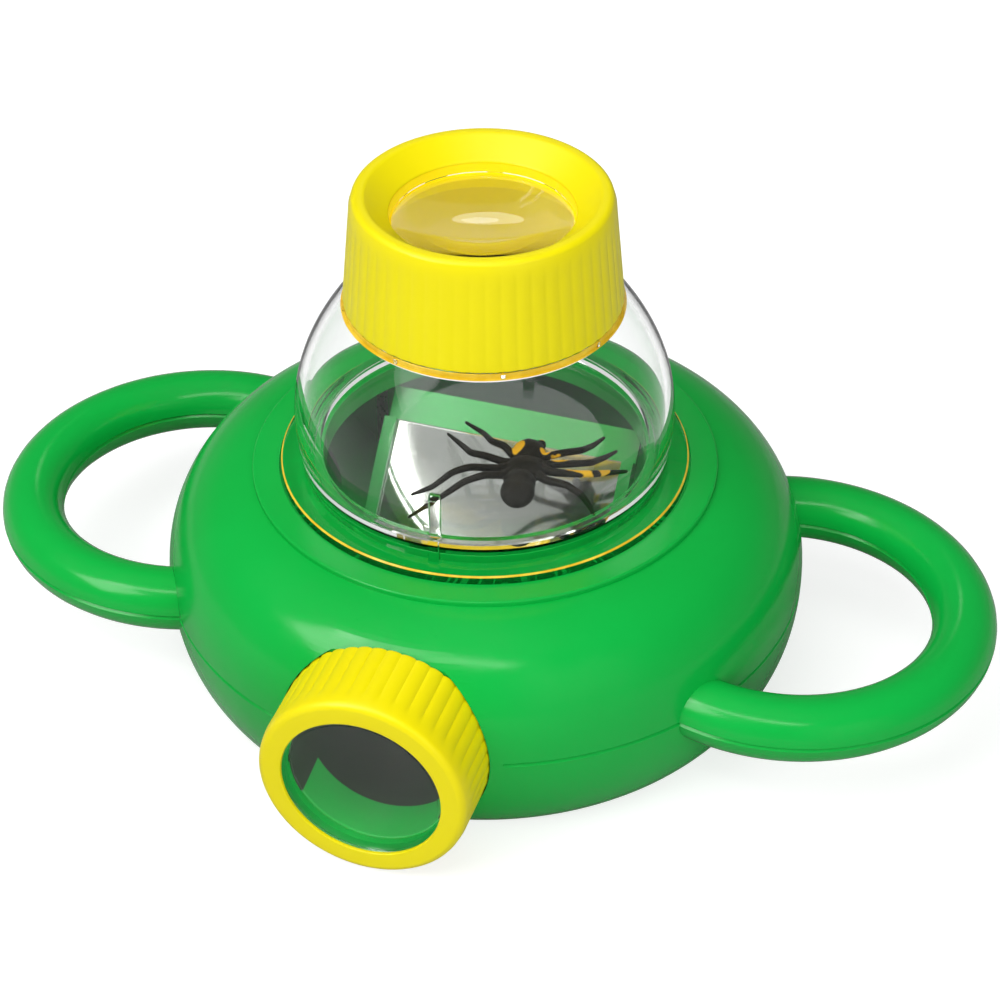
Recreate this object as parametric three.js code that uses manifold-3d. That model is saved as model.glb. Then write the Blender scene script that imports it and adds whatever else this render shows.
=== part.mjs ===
// Two-way bug viewer: a clear chamber with a magnifying screw cap on top, and a side eyepiece that sees
// the chamber from below by a mirror set at 45 degrees inside the handled body.
// Millimetres, +Z up. The origin is the centre of the flat underside. The eyepiece looks out along -Y
// and the two handles reach along X.
import * as THREE from 'three';
import { mergeVertices } from 'three/addons/utils/BufferGeometryUtils.js';
import Module from 'manifold-3d';

const wasm = await Module();
wasm.setup();

// Fits between pieces
const fitGap = 0.3; // between curved neighbours
const runningGap = 0.4; // between a turning cap and what it turns on
const screwGap = 0.25; // round a screw's shank and head
const seamNotch = 0.45; // half-height and depth of the line between the two shells
const softEdge = 0.5; // rounding of a moulded edge
const cutMargin = 1; // how far a cut runs past the surface that it opens

// Dome
const domeFootRadius = 37.8; // outside of the wall where it meets the flange
const domeFlangeWidth = 5.05;
const domeFlangeThickness = 2.2;
const domeSeatDepth = 0.7; // how far the flange sinks into the raised ring
const domeWall = 1.8;
const domeBulge = 1.65; // how far the wall swells beyond its foot
const domeBulgeRise = 11.3; // of the widest place above the flange
const domeRise = 38.6; // from the flange to the shoulder
const domeShoulderWidth = 4.8; // flat shoulder outside the neck
const collarHeight = 1.5;
const neckRadius = 23.2;
const neckWall = 2.2;
const neckHeight = 12.1;
const hookCount = 4;
const hookWidth = 7.4;
const hookThickness = 1.6;
const hookBarb = 1.3;
const hookBarbHeight = 1.6;
const domeRibWidth = 2.3;
const domeRibDepth = 0.8;
const domeRibLength = 11;

// Chamber floor, held between the body's spigot ring and the dome's ledge
const spigotStep = 1.5; // from the dome's foot in to the outside of the spigot
const spigotWall = 2;
const spigotRise = 2.9; // of the floor's underside above the dome's seat
const floorThickness = 1.8;
const ledgeReach = 1.6; // how far the ledge stands in over the floor
const ledgeThickness = 1.8;

// Body shells
const bodyRadius = 68;
const sideLap = 2.9; // how far inside the raised ring's edge the rounded side begins
const sidePower = 2.2; // exponent of the side's superellipse
const shoulderRise = 25; // the side's rise above the parting plane
const bellyCut = 5.4; // how far the side's curve would run below the flat base
const shellWall = 2.4;
const baseFillet = 1;
const ringWidth = 6.05; // raised ring outside the dome's flange
const ringStepHeight = 1;
const ringEdge = 0.35;
const cavityTurn = 75; // degrees round the side where the cavity's ceiling begins

// Handles
const handleInset = 0.8; // from the body's side in to the middle of a handle's ring
const handleRingRadius = 36.4;
const handleTubeRadius = 6.7;
const handleWall = 2.3;
const handleScrewTurn = 38; // degrees either side of the handle's tip
const handleBossRadius = 4.9;

// Top cap
const capWall = 3.75; // outside the cap's bore, at its foot
const capTaper = 1.95; // how far the skirt draws in by its shoulder
const capRimStep = 0.8; // from the shoulder in to the rim
const capRimBand = 2.4; // height of the smooth band above the ribs
const capRimWidth = 2.2;
const capRimRound = 0.9;
const capDishDepth = 4.1;
const capLipThickness = 2.5;
const capLipReach = 1.75; // how far the lip stands in over the lens
const capRibCount = 56;
const capRibDepth = 0.5;
const capSeatGap = 0.3; // between the skirt's foot and the dome's collar
const capHeadGap = 0.8; // between the neck's end and the lens ring
const capPitch = 4;
const topRingShelf = 2.7; // from the cap's bore in to the lens ring
const topRingThickness = 2.2;
const topRingWidth = 3.8;
const topLensStep = 1.6; // from the ring's radius in to the lens's
const topLensRim = 2.2;
const topLensCrown = 2;
const lensRimWidth = 2.4; // flat rim of a lens

// Eyepiece, measured outwards from the body's centre along the eyepiece axis
const eyeReach = 10.6; // of the ring's face beyond the body's side
const eyeStandOff = 0.4; // of the ring above the ground
const eyeCapLength = 17.8;
const eyeCapWall = 2.1; // outside its bore
const eyeCapDraw = 0.9; // how far its front is drawn in
const eyeFrontRound = 1.5;
const eyeSmoothBand = 3;
const eyeLipThickness = 2.4;
const eyeLipReach = 1.7; // how far the lip stands in over the lens
const eyeRibCount = 44;
const eyeRibDepth = 0.55;
const eyePitch = 3;
const eyeTubeRadius = 18.2;
const eyeTubeWall = 1.9;
const eyeTubeInside = 20; // reach of the tube behind its boss
const eyeFlangeStep = 2.5;
const eyeFlangeThickness = 2.2;
const eyeBossWall = 2.2;
const eyePocketGap = 0.7; // round the cap where it dips into the body
const eyeRingThickness = 1.8;
const eyeRingWidth = 2.8;
const eyeLensStep = 0.9; // from the ring's radius in to the lens's
const eyeLensRim = 2;
const eyeLensCrown = 1.5;

// Screw threads
const threadTurns = 1.25;
const threadHeight = 1.1;
const threadSink = 0.4; // how far a thread's root is buried in its wall
const threadLead = 0.4; // from a cap's foot to the start of its own ridge
const neckThreadBase = 2;
const neckThreadCrest = 1;
const tubeThreadBase = 1.6;
const tubeThreadCrest = 0.8;
const capThreadBase = 1.2;
const capThreadCrest = 0.7;

// Mirror and its bracket
const mirrorWidth = 53.6;
const mirrorThickness = 2;
const bracketWall = 2.4;
const bracketRail = 1.7;
const railLip = 1.1;
const bracketHeadroom = 0.7; // from the plate's upper edge to the ceiling
const bracketFootroom = 1.2; // from the lower edge of the plate's face to the base
const bracketStop = 2; // ledge under the mirror's lower edge
const bracketStopLip = 1; // how far that ledge stands up behind the mirror's face
const gussetSpacing = 40;
const gussetWall = 2.4;
const gussetInset = 1; // how far a gusset stands in over its pad
const gussetDrop = 4; // of the gussets' top below the plate's upper edge
const padLength = 13;
const padWidth = 11;
const padThickness = 2.4;
const padRise = 4; // height of the body's bosses under the pads
const padDistance = 13; // from the centre towards the back
const bracketBossRadius = 3.5;

// Screws
const shellScrewTurn = 45; // degrees: they stand on the diagonals
const shellScrewInset = 14; // from the body's side
const shellScrewDepth = 14.2; // of the head's seat below the parting plane
const shellBossRadius = 4.2;
const shellScrew = { headRadius: 2.9, headHeight: 1.8, shankRadius: 1.4, length: 26 };
const handleScrewDepth = 3.4; // of the head's seat below the parting plane
const handleScrew = { headRadius: 2.3, headHeight: 1.4, shankRadius: 1.15, length: 7 };
const bracketScrew = { headRadius: 2.5, headHeight: 1.5, shankRadius: 1.3, length: 6 };
const headTaper = 0.2; // share by which a screw's head narrows to its top
const slotWidth = 0.7;
const slotDepth = 0.6;
const slotShare = 0.65; // length of the cross slots over the head's diameter

// Toy spider in the chamber, with its head towards the back
const spiderX = 12.8;
const spiderY = -12.6;
const spiderTurn = 12; // degrees
const abdomenLength = 13;
const abdomenWidth = 8.6;
const abdomenHeight = 7;
const abdomenOffset = 8; // behind the spider's middle
const headLength = 8.6;
const headWidth = 6.2;
const headThickness = 4.6;
const headOffset = 1.6; // before the spider's middle
const spiderBodyLift = 3.6; // middle of the body above the floor
const legWallRoom = 10.7; // the ledge's radius less the longest leg
const legRadius = 0.75;
const kneeLift = 6.6;
const spiderLegs = [ // the leg's direction in degrees and its share of the longest
  [58, 0.93],
  [41, 0.89],
  [24, 0.83],
  [-38, 0.58],
  [141, 1],
  [159, 0.96],
  [212, 1],
  [229, 1.02],
];

// Facets
const bodyFacets = 40;
const sideSteps = 5;
const handleFacets = 24;
const tubeFacets = 8;
const channelFacets = 6;
const domeFacets = 32;
const domeSteps = 7;
const eyeFacets = 28;
const lensFacets = 24;
const lensSteps = 3;
const threadFacets = 20; // per turn
const screwFacets = 8;
const spiderFacets = 10;
const legFacets = 5;
const legSteps = 6;

// Radii worked out from the sizes above
const domeFlangeRadius = domeFootRadius + domeFlangeWidth;
const domeWidestRadius = domeFootRadius + domeBulge;
const domeShoulderRadius = neckRadius + domeShoulderWidth;
const spigotRadius = domeFootRadius - spigotStep;
const ledgeRadius = spigotRadius - ledgeReach;
const ringStepRadius = domeFlangeRadius + ringWidth;
const sideWidth = bodyRadius - ringStepRadius + sideLap;
const handleCentre = bodyRadius - handleInset;
const shellScrewDistance = bodyRadius - shellScrewInset;
const capBore = neckRadius + threadHeight + runningGap;
const capSkirtRadius = capBore + capWall;
const capShoulderRadius = capSkirtRadius - capTaper;
const capRimRadius = capShoulderRadius - capRimStep;
const capDishRadius = capRimRadius - capRimWidth;
const topRingRadius = capBore - topRingShelf;
const topLensRadius = topRingRadius - topLensStep;
const capHoleRadius = topLensRadius - capLipReach;
const eyeCapBore = eyeTubeRadius + threadHeight + runningGap;
const eyeCapRadius = eyeCapBore + eyeCapWall;
const eyeFrontRadius = eyeCapRadius - eyeCapDraw;
const eyeRingRadius = eyeCapBore - softEdge;
const eyeLensRadius = eyeRingRadius - eyeLensStep;
const eyeHoleRadius = eyeLensRadius - eyeLipReach;
const eyeFlangeRadius = eyeTubeRadius + eyeFlangeStep;

// Distances along the eyepiece axis
const eyeFront = bodyRadius + eyeReach;
const eyeRear = eyeFront - eyeCapLength;
const eyeFace = eyeRear - runningGap / 2;
const eyeLipInside = eyeFront - eyeLipThickness;
const eyeLensRear = eyeLipInside - eyeLensRim;
const eyeRingRear = eyeLensRear - eyeRingThickness;
const eyeTubeOuterEnd = eyeRingRear - runningGap;
const eyeFlangeOuter = eyeFace - eyeBossWall;
const eyeFlangeInner = eyeFlangeOuter - eyeFlangeThickness;
const eyeBossInner = eyeFlangeInner - eyeBossWall;
const eyeTubeInnerEnd = eyeBossInner - eyeTubeInside;

// Heights
const partingHeight = eyeCapRadius + eyeStandOff; // of the handles and the eyepiece axis too
const bellyDrop = partingHeight + bellyCut;
const ringTop = partingHeight + shoulderRise + ringStepHeight;
const domeSeat = ringTop - domeSeatDepth;
const ceiling = domeSeat - shellWall;
const flangeTop = domeSeat + domeFlangeThickness;
const domeWidestHeight = flangeTop + domeBulgeRise;
const domeShoulderHeight = flangeTop + domeRise;
const collarFoot = domeShoulderHeight - collarHeight;
const neckTop = domeShoulderHeight + neckHeight;
const floorUnderside = domeSeat + spigotRise;
const floorHeight = floorUnderside + floorThickness;
const ledgeTop = floorHeight + ledgeThickness;
const hookBarbTop = ceiling - fitGap;
const hookBarbFoot = hookBarbTop - hookBarbHeight;
const capFoot = domeShoulderHeight + capSeatGap;
const topRingFoot = neckTop + capHeadGap;
const topLensFoot = topRingFoot + topRingThickness;
const capLipUnderside = topLensFoot + topLensRim;
const capHoleTop = capLipUnderside + capLipThickness;
const capTop = capHoleTop + capDishDepth;
const bracketTop = ceiling - bracketHeadroom;
const bracketFoot = shellWall + bracketFootroom;
const bracketSole = shellWall + fitGap; // where the plate's lower end is cut flat
const padFoot = shellWall + padRise;
const padTop = padFoot + padThickness;
const shellScrewSeat = partingHeight - shellScrewDepth;
const handleScrewSeat = partingHeight - handleScrewDepth;

// The mirror's slope at 45 degrees, measured up and down it from the eyepiece axis
const diagonal = Math.SQRT1_2;
const degrees = Math.PI / 180;
const slopeTop = (bracketTop - partingHeight) / diagonal;
const slopeFoot = (bracketFoot - partingHeight) / diagonal;
const mirrorFoot = slopeFoot + bracketStop + fitGap;
const mirrorLength = -2 * mirrorFoot;

// Turns a closed three.js geometry into a solid with its faces pointing out
function solid(geometry) {
  const bare = geometry.clone();
  bare.deleteAttribute('normal');
  bare.deleteAttribute('uv');
  const merged = mergeVertices(bare, 1e-4);
  const points = merged.attributes.position.array;
  const index = merged.index.array;
  const faces = [];
  let volume = 0;
  for (let i = 0; i < index.length; i += 3) {
    const [a, b, c] = [index[i], index[i + 1], index[i + 2]];
    if (a === b || b === c || c === a) continue;
    faces.push(a, b, c);
    const [pa, pb, pc] = [a, b, c].map((k) => new THREE.Vector3().fromArray(points, 3 * k));
    volume += pa.dot(pb.cross(pc));
  }
  if (volume < 0) faces.reverse();
  return new wasm.Manifold(new wasm.Mesh({
    numProp: 3,
    vertProperties: new Float32Array(points),
    triVerts: new Uint32Array(faces),
  }));
}

function geometryOf(body) {
  const mesh = body.getMesh();
  const geometry = new THREE.BufferGeometry();
  geometry.setAttribute('position', new THREE.BufferAttribute(new Float32Array(mesh.vertProperties), 3));
  geometry.setIndex(new THREE.BufferAttribute(new Uint32Array(mesh.triVerts), 1));
  return geometry;
}

function joined(solids) {
  return solids.reduce((all, next) => all.add(next));
}

// A closed outline from a list of pairs
function shapeOf(pairs) {
  return new THREE.Shape(pairs.map(([a, b]) => new THREE.Vector2(a, b)));
}

// A profile of [radius, height] pairs turned about +Z
function turned(profile, facets) {
  const points = profile.map(([r, z]) => new THREE.Vector2(r, z));
  return new THREE.LatheGeometry(points, facets).rotateX(Math.PI / 2);
}

function ringSolid(inner, outer, low, high, facets) {
  return solid(turned([[inner, low], [outer, low], [outer, high], [inner, high], [inner, low]], facets));
}

function discGeometry(radius, low, high, facets) {
  return turned([[0, low], [radius, low], [radius, high], [0, high]], facets);
}

function discSolid(radius, low, high, facets) {
  return solid(discGeometry(radius, low, high, facets));
}

// A round bar that stands at x, y
function postSolid(radius, low, high, { x, y }) {
  return solid(discGeometry(radius, low, high, screwFacets).translate(x, y, 0));
}

function boxSolid(sizeX, sizeY, sizeZ, x, y, z) {
  return solid(new THREE.BoxGeometry(sizeX, sizeY, sizeZ).translate(x, y, z));
}

// A disc on the eyepiece axis, which points along -Y
function eyeDisc(radius, near, far) {
  const disc = discGeometry(radius, near, far, eyeFacets);
  return solid(disc.rotateX(Math.PI / 2).translate(0, 0, partingHeight));
}

// Points along the body's rounded side, from one angle of its superellipse to another
function sidePoints(inset, rise, fromAngle, toAngle, steps) {
  const points = [];
  for (let i = 0; i <= steps; i += 1) {
    const angle = fromAngle + (toAngle - fromAngle) * i / steps;
    const out = Math.cos(angle) ** (2 / sidePower);
    const up = Math.sin(Math.abs(angle)) ** (2 / sidePower) * Math.sign(angle);
    const radius = bodyRadius - sideWidth + (sideWidth - inset) * out;
    points.push([radius, partingHeight + (rise - inset) * up]);
  }
  return points;
}

// The angle at which the side reaches a height above or below the parting plane
function angleAtHeight(height, rise) {
  return Math.asin((height / rise) ** (sidePower / 2));
}

// The angle at which the side reaches a radius
function angleAtRadius(radius, inset) {
  return Math.acos(((radius - bodyRadius + sideWidth) / (sideWidth - inset)) ** (sidePower / 2));
}

// The body's outside as one solid drawn in by an inset, with the V line where the shells meet
function bodyForm(inset) {
  const baseTurn = angleAtHeight(partingHeight - inset - baseFillet, bellyDrop - inset);
  const ringTurn = angleAtRadius(ringStepRadius + ringEdge, inset);
  const underSeam = -angleAtHeight(seamNotch, bellyDrop);
  const overSeam = angleAtHeight(seamNotch, shoulderRise);
  const below = sidePoints(inset, bellyDrop, -baseTurn, underSeam, sideSteps);
  const above = sidePoints(inset, shoulderRise, overSeam, ringTurn, sideSteps + 2);
  const footRadius = below[0][0];
  const shoulderHeight = above.at(-1)[1];
  return solid(turned([
    [0, inset],
    [footRadius - baseFillet, inset],
    ...below,
    [bodyRadius - inset - seamNotch, partingHeight],
    ...above,
    [ringStepRadius, shoulderHeight],
    [ringStepRadius, ringTop - inset - ringEdge],
    [ringStepRadius - ringEdge, ringTop - inset],
    [0, ringTop - inset],
  ], bodyFacets));
}

// The space inside the shells
function bodyCavity() {
  const baseTurn = angleAtHeight(partingHeight - shellWall, bellyDrop - shellWall);
  const side = sidePoints(shellWall, bellyDrop, -baseTurn, 0, sideSteps - 1);
  const upperSide = sidePoints(shellWall, shoulderRise, 0, cavityTurn * degrees, sideSteps);
  const cornerRadius = upperSide.at(-1)[0];
  return solid(turned([
    [0, shellWall],
    ...side,
    ...upperSide.slice(1),
    [cornerRadius - cutMargin, ceiling],
    [0, ceiling],
  ], bodyFacets));
}

// A handle's closed ring about its own upright axis, with the seam's notch in its tube
function handleRing(tubeRadius, notch, facets) {
  const at = (angle, radius) => [
    handleRingRadius + radius * Math.cos(angle), partingHeight + radius * Math.sin(angle)];
  const profile = [];
  for (let i = 0; i < facets; i += 1) {
    const angle = 2 * Math.PI * i / facets;
    if (notch > 0 && i % (facets / 2) === 0) {
      const half = notch / tubeRadius;
      profile.push(at(angle - half, tubeRadius), at(angle, tubeRadius - notch), at(angle + half, tubeRadius));
    } else {
      profile.push(at(angle, tubeRadius));
    }
  }
  return turned([...profile, profile[0]], handleFacets);
}

function handleBossPlaces() {
  return [1, -1].flatMap((side) => [handleScrewTurn, -handleScrewTurn].map((turn) => ({
    x: side * (handleCentre + handleRingRadius * Math.cos(turn * degrees)),
    y: handleRingRadius * Math.sin(turn * degrees),
  })));
}

function shellBossPlaces() {
  return [0, 1, 2, 3].map((quarter) => {
    const angle = (shellScrewTurn + 90 * quarter) * degrees;
    return { x: shellScrewDistance * Math.cos(angle), y: shellScrewDistance * Math.sin(angle) };
  });
}

function bracketBossPlaces() {
  return [-1, 1].map((side) => ({ x: side * gussetSpacing / 2, y: padDistance }));
}

// A screw's way into the plastic from below: recess for its head, then its shank's hole
function screwWay(screw, seat, recess, place) {
  const end = seat + screw.length + cutMargin;
  const hole = postSolid(screw.shankRadius + screwGap, seat - cutMargin, end, place);
  return hole.add(postSolid(screw.headRadius + screwGap, seat - recess, seat, place));
}

// Both handles with their hollow tubes and screw bosses, cut back to the body's wall
function makeHandles() {
  const core = bodyForm(shellWall / 2);
  const tubes = handleRing(handleTubeRadius, seamNotch, tubeFacets);
  const channels = handleRing(handleTubeRadius - handleWall, 0, channelFacets);
  return [1, -1].map((side) => {
    const shift = side * handleCentre;
    const tube = solid(tubes.clone().translate(shift, 0, 0));
    const handle = tube.subtract(solid(channels.clone().translate(shift, 0, 0))).subtract(core);
    const bosses = handleBossPlaces().filter(({ x }) => x * side > 0).map((place) => postSolid(
      handleBossRadius, partingHeight - handleTubeRadius, partingHeight + handleTubeRadius, place));
    return handle.add(joined(bosses).intersect(tube));
  });
}

// Both shells before they are parted
function wholeBody() {
  const outside = bodyForm(0);
  const shellBosses = shellBossPlaces().map((place) => postSolid(
    shellBossRadius, shellWall / 2, ringTop, place).intersect(outside));
  const bracketBosses = bracketBossPlaces().map((place) => postSolid(
    bracketBossRadius, shellWall / 2, padFoot, place));
  const hollow = joined([
    outside.subtract(bodyCavity()),
    ...makeHandles(),
    ...shellBosses,
    ...bracketBosses,
    eyepieceBoss(outside),
  ]);
  const seated = hollow.subtract(joined([
    eyepieceWay(),
    discSolid(domeFlangeRadius + fitGap, domeSeat, ringTop + cutMargin, domeFacets),
    discSolid(spigotRadius - spigotWall, ceiling - cutMargin, ringTop, domeFacets),
  ]));
  const spigot = ringSolid(spigotRadius - spigotWall, spigotRadius, ceiling, floorUnderside, domeFacets);
  return seated.add(spigot).subtract(joined([
    ...hookTurns().map(hookSlot),
    ...shellBossPlaces().map((place) => screwWay(
      shellScrew, shellScrewSeat, shellScrewSeat + cutMargin, place)),
    ...handleBossPlaces().map((place) => screwWay(
      handleScrew, handleScrewSeat, handleTubeRadius, place)),
    ...bracketBossPlaces().map((place) => postSolid(
      bracketScrew.shankRadius + screwGap, padTop - bracketScrew.length - cutMargin, padTop, place)),
  ]));
}

// Thick round seat for the eyepiece, kept within the body's outside
function eyepieceBoss(outside) {
  return eyeDisc(eyeCapRadius + eyePocketGap + shellWall, eyeBossInner, bodyRadius).intersect(outside);
}

// What the eyepiece needs clear in the body: the cap's pocket, the tube and its flange
function eyepieceWay() {
  return joined([
    eyeDisc(eyeCapRadius + eyePocketGap, eyeFace, bodyRadius + cutMargin),
    eyeDisc(eyeTubeRadius + fitGap, eyeBossInner - cutMargin, bodyRadius),
    eyeDisc(eyeFlangeRadius + fitGap, eyeFlangeInner, eyeFlangeOuter),
  ]);
}

function hookTurns() {
  return Array.from({ length: hookCount }, (_, i) => (i + 0.5) * 2 * Math.PI / hookCount);
}

// The slot that a hook passes through in the upper shell
function hookSlot(turn) {
  const depth = hookThickness + hookBarb + 2 * fitGap;
  const foot = hookBarbFoot - fitGap;
  return solid(new THREE.BoxGeometry(depth, hookWidth + 2 * fitGap, ringTop - foot)
    .translate(domeFootRadius - fitGap + depth / 2, 0, (ringTop + foot) / 2).rotateZ(turn));
}

function halfSpace(low, high) {
  const span = 4 * bodyRadius;
  return boxSolid(span, span, high - low, 0, 0, (low + high) / 2);
}

// Radius of the dome's outside at a height
function domeRadius(height) {
  if (height > domeWidestHeight) {
    const share = (height - domeWidestHeight) / (domeShoulderHeight - domeWidestHeight);
    return domeShoulderRadius + (domeWidestRadius - domeShoulderRadius) * (1 - share ** 2);
  }
  const share = (domeWidestHeight - height) / (domeWidestHeight - flangeTop);
  return domeWidestRadius - (domeWidestRadius - domeFootRadius) * share ** 2;
}

function domePoints(inset, low, high, steps) {
  return Array.from({ length: steps + 1 }, (_, i) => {
    const height = low + (high - low) * i / steps;
    return [domeRadius(height) - inset, height];
  });
}

// Helical ridge about +Z, on a wall of the given radius; side 1 stands outwards, -1 inwards
function threadSolid(wallRadius, side, baseWidth, crestWidth, pitch, foot) {
  const steps = Math.round(threadTurns * threadFacets);
  const root = wallRadius - side * threadSink;
  const crest = wallRadius + side * threadHeight;
  const section = [
    [root, -baseWidth / 2], [root, baseWidth / 2], [crest, crestWidth / 2], [crest, -crestWidth / 2],
  ];
  const positions = [];
  const index = [];
  for (let i = 0; i <= steps; i += 1) {
    const angle = 2 * Math.PI * threadTurns * i / steps;
    const lift = foot + pitch * threadTurns * i / steps;
    section.forEach(([r, z]) => positions.push(r * Math.cos(angle), r * Math.sin(angle), z + lift));
  }
  for (let i = 0; i < steps; i += 1) {
    for (let k = 0; k < 4; k += 1) {
      const [a, b] = [4 * i + k, 4 * i + (k + 1) % 4];
      index.push(a, b, b + 4, a, b + 4, a + 4);
    }
  }
  const last = 4 * steps;
  index.push(0, 2, 1, 0, 3, 2, last, last + 1, last + 2, last, last + 2, last + 3);
  const geometry = new THREE.BufferGeometry();
  geometry.setAttribute('position', new THREE.BufferAttribute(new Float32Array(positions), 3));
  geometry.setIndex(index);
  return solid(geometry);
}

// A cap's own ridge, just inside its foot
function capThread(bore, foot, pitch) {
  const start = foot + threadLead + capThreadBase / 2;
  return threadSolid(bore, -1, capThreadBase, capThreadCrest, pitch, start);
}

// The ridge that a cap turns on, half a pitch above the cap's own
function matingThread(radius, base, crest, foot, pitch) {
  const start = foot + threadLead + capThreadBase / 2 + pitch / 2;
  return threadSolid(radius, 1, base, crest, pitch, start);
}

// Ribbed skirt that tapers from its foot to its shoulder
function ribbedSkirt(count, depth, footRadius, shoulderRadius, low, high) {
  const corners = Array.from({ length: 2 * count }, (_, i) => {
    const angle = Math.PI * i / count;
    const radius = footRadius - (i % 2) * depth;
    return [radius * Math.cos(angle), radius * Math.sin(angle)];
  });
  const geometry = new THREE.ExtrudeGeometry(shapeOf(corners), { depth: high - low, bevelEnabled: false });
  const place = geometry.attributes.position;
  for (let i = 0; i < place.count; i += 1) {
    const share = place.getZ(i) / (high - low);
    const scale = 1 + share * (shoulderRadius / footRadius - 1);
    place.setXYZ(i, place.getX(i) * scale, place.getY(i) * scale, place.getZ(i) + low);
  }
  return solid(geometry);
}

// Lens that bulges both ways inside its flat rim
function lensGeometry(radius, rim, crown, foot) {
  const arc = Array.from({ length: lensSteps + 1 }, (_, i) => i / lensSteps)
    .map((share) => [(radius - lensRimWidth) * share, crown * (1 - share ** 2)]);
  const under = arc.map(([r, bulge]) => [r, foot - bulge]);
  const over = arc.map(([r, bulge]) => [r, foot + rim + bulge]).reverse();
  return turned([...under, [radius, foot], [radius, foot + rim], ...over], lensFacets);
}

// Pan-headed screw with a cross slot, its head's underside at z 0 and its shank above
function screwSolid({ headRadius, headHeight, shankRadius, length }) {
  const form = solid(turned([
    [0, -headHeight],
    [headRadius * (1 - headTaper), -headHeight],
    [headRadius, 0],
    [shankRadius, 0],
    [shankRadius, length],
    [0, length],
  ], screwFacets));
  const reach = 2 * headRadius * slotShare;
  const cut = slotDepth + cutMargin;
  const middle = slotDepth - headHeight - cut / 2;
  const cross = joined([[reach, slotWidth], [slotWidth, reach]]
    .map(([sizeX, sizeY]) => boxSolid(sizeX, sizeY, cut, 0, 0, middle)));
  return form.subtract(cross);
}

// The clear dome: flange, bulging wall, ledge over the floor, collar, neck, thread, hooks and ribs
function makeDome() {
  const outside = domePoints(0, flangeTop + softEdge, collarFoot, domeSteps);
  const inside = domePoints(domeWall, ledgeTop, collarFoot, domeSteps - 2).reverse();
  const neckBore = neckRadius - neckWall;
  const wall = solid(turned([
    [spigotRadius + fitGap, domeSeat],
    [domeFlangeRadius - softEdge, domeSeat],
    [domeFlangeRadius, domeSeat + softEdge],
    [domeFlangeRadius, flangeTop - softEdge],
    [domeFlangeRadius - softEdge, flangeTop],
    [domeFootRadius + softEdge, flangeTop],
    ...outside,
    [domeShoulderRadius, collarFoot],
    [domeShoulderRadius, domeShoulderHeight],
    [neckRadius, domeShoulderHeight],
    [neckRadius, neckTop],
    [neckBore, neckTop],
    [neckBore, collarFoot],
    ...inside,
    [ledgeRadius, ledgeTop],
    [ledgeRadius, floorHeight],
    [spigotRadius + fitGap, floorHeight],
    [spigotRadius + fitGap, domeSeat],
  ], domeFacets));
  return joined([
    wall,
    matingThread(neckRadius, neckThreadBase, neckThreadCrest, capFoot, capPitch),
    ...hookTurns().map(hookSolid),
    ...[0, Math.PI].map(domeRib),
  ]);
}

// Snap hook below the flange, with its barb under the shell's ceiling
function hookSolid(turn) {
  const root = domeSeat + softEdge;
  const back = domeFootRadius + hookThickness;
  const outline = shapeOf([
    [domeFootRadius, root],
    [domeFootRadius, hookBarbFoot],
    [back - softEdge, hookBarbFoot],
    [back + hookBarb, hookBarbTop - softEdge],
    [back + hookBarb, hookBarbTop],
    [back, hookBarbTop],
    [back, root],
  ]);
  return solid(new THREE.ExtrudeGeometry(outline, { depth: hookWidth, bevelEnabled: false })
    .rotateX(Math.PI / 2).translate(0, hookWidth / 2, 0).rotateZ(turn));
}

// Upright rib on the inside of the dome's wall, in front and behind
function domeRib(turn) {
  const length = domeRibLength + softEdge;
  return solid(new THREE.BoxGeometry(domeRibWidth, 2 * domeRibDepth, length)
    .translate(0, domeWall - domeFootRadius, ledgeTop - softEdge + length / 2).rotateZ(turn));
}

function makeTopCap() {
  const shoulder = capTop - capRimBand;
  const dishSlope = (capDishRadius - capHoleRadius) / capDishDepth;
  const skirt = ribbedSkirt(capRibCount, capRibDepth, capSkirtRadius, capShoulderRadius, capFoot, shoulder);
  const head = solid(turned([
    [0, capFoot],
    [capShoulderRadius - 1.2 * capRibDepth, capFoot],
    [capShoulderRadius - capRibDepth / 2, shoulder],
    [capRimRadius, capTop - capRimRound],
    [capRimRadius - capRimRound / 3, capTop - capRimRound / 3],
    [capRimRadius - capRimRound, capTop],
    [0, capTop],
  ], domeFacets));
  const bore = solid(turned([
    [0, capFoot - cutMargin],
    [capBore, capFoot - cutMargin],
    [capBore, topRingFoot - fitGap],
    [topRingRadius + fitGap, topRingFoot - fitGap],
    [topRingRadius + fitGap, topLensFoot],
    [topLensRadius + fitGap, topLensFoot],
    [topLensRadius + fitGap, capLipUnderside],
    [capHoleRadius, capLipUnderside],
    [capHoleRadius, capHoleTop],
    [capDishRadius + dishSlope * cutMargin, capTop + cutMargin],
    [0, capTop + cutMargin],
  ], domeFacets));
  return skirt.add(head).subtract(bore).add(capThread(capBore, capFoot, capPitch));
}

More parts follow.
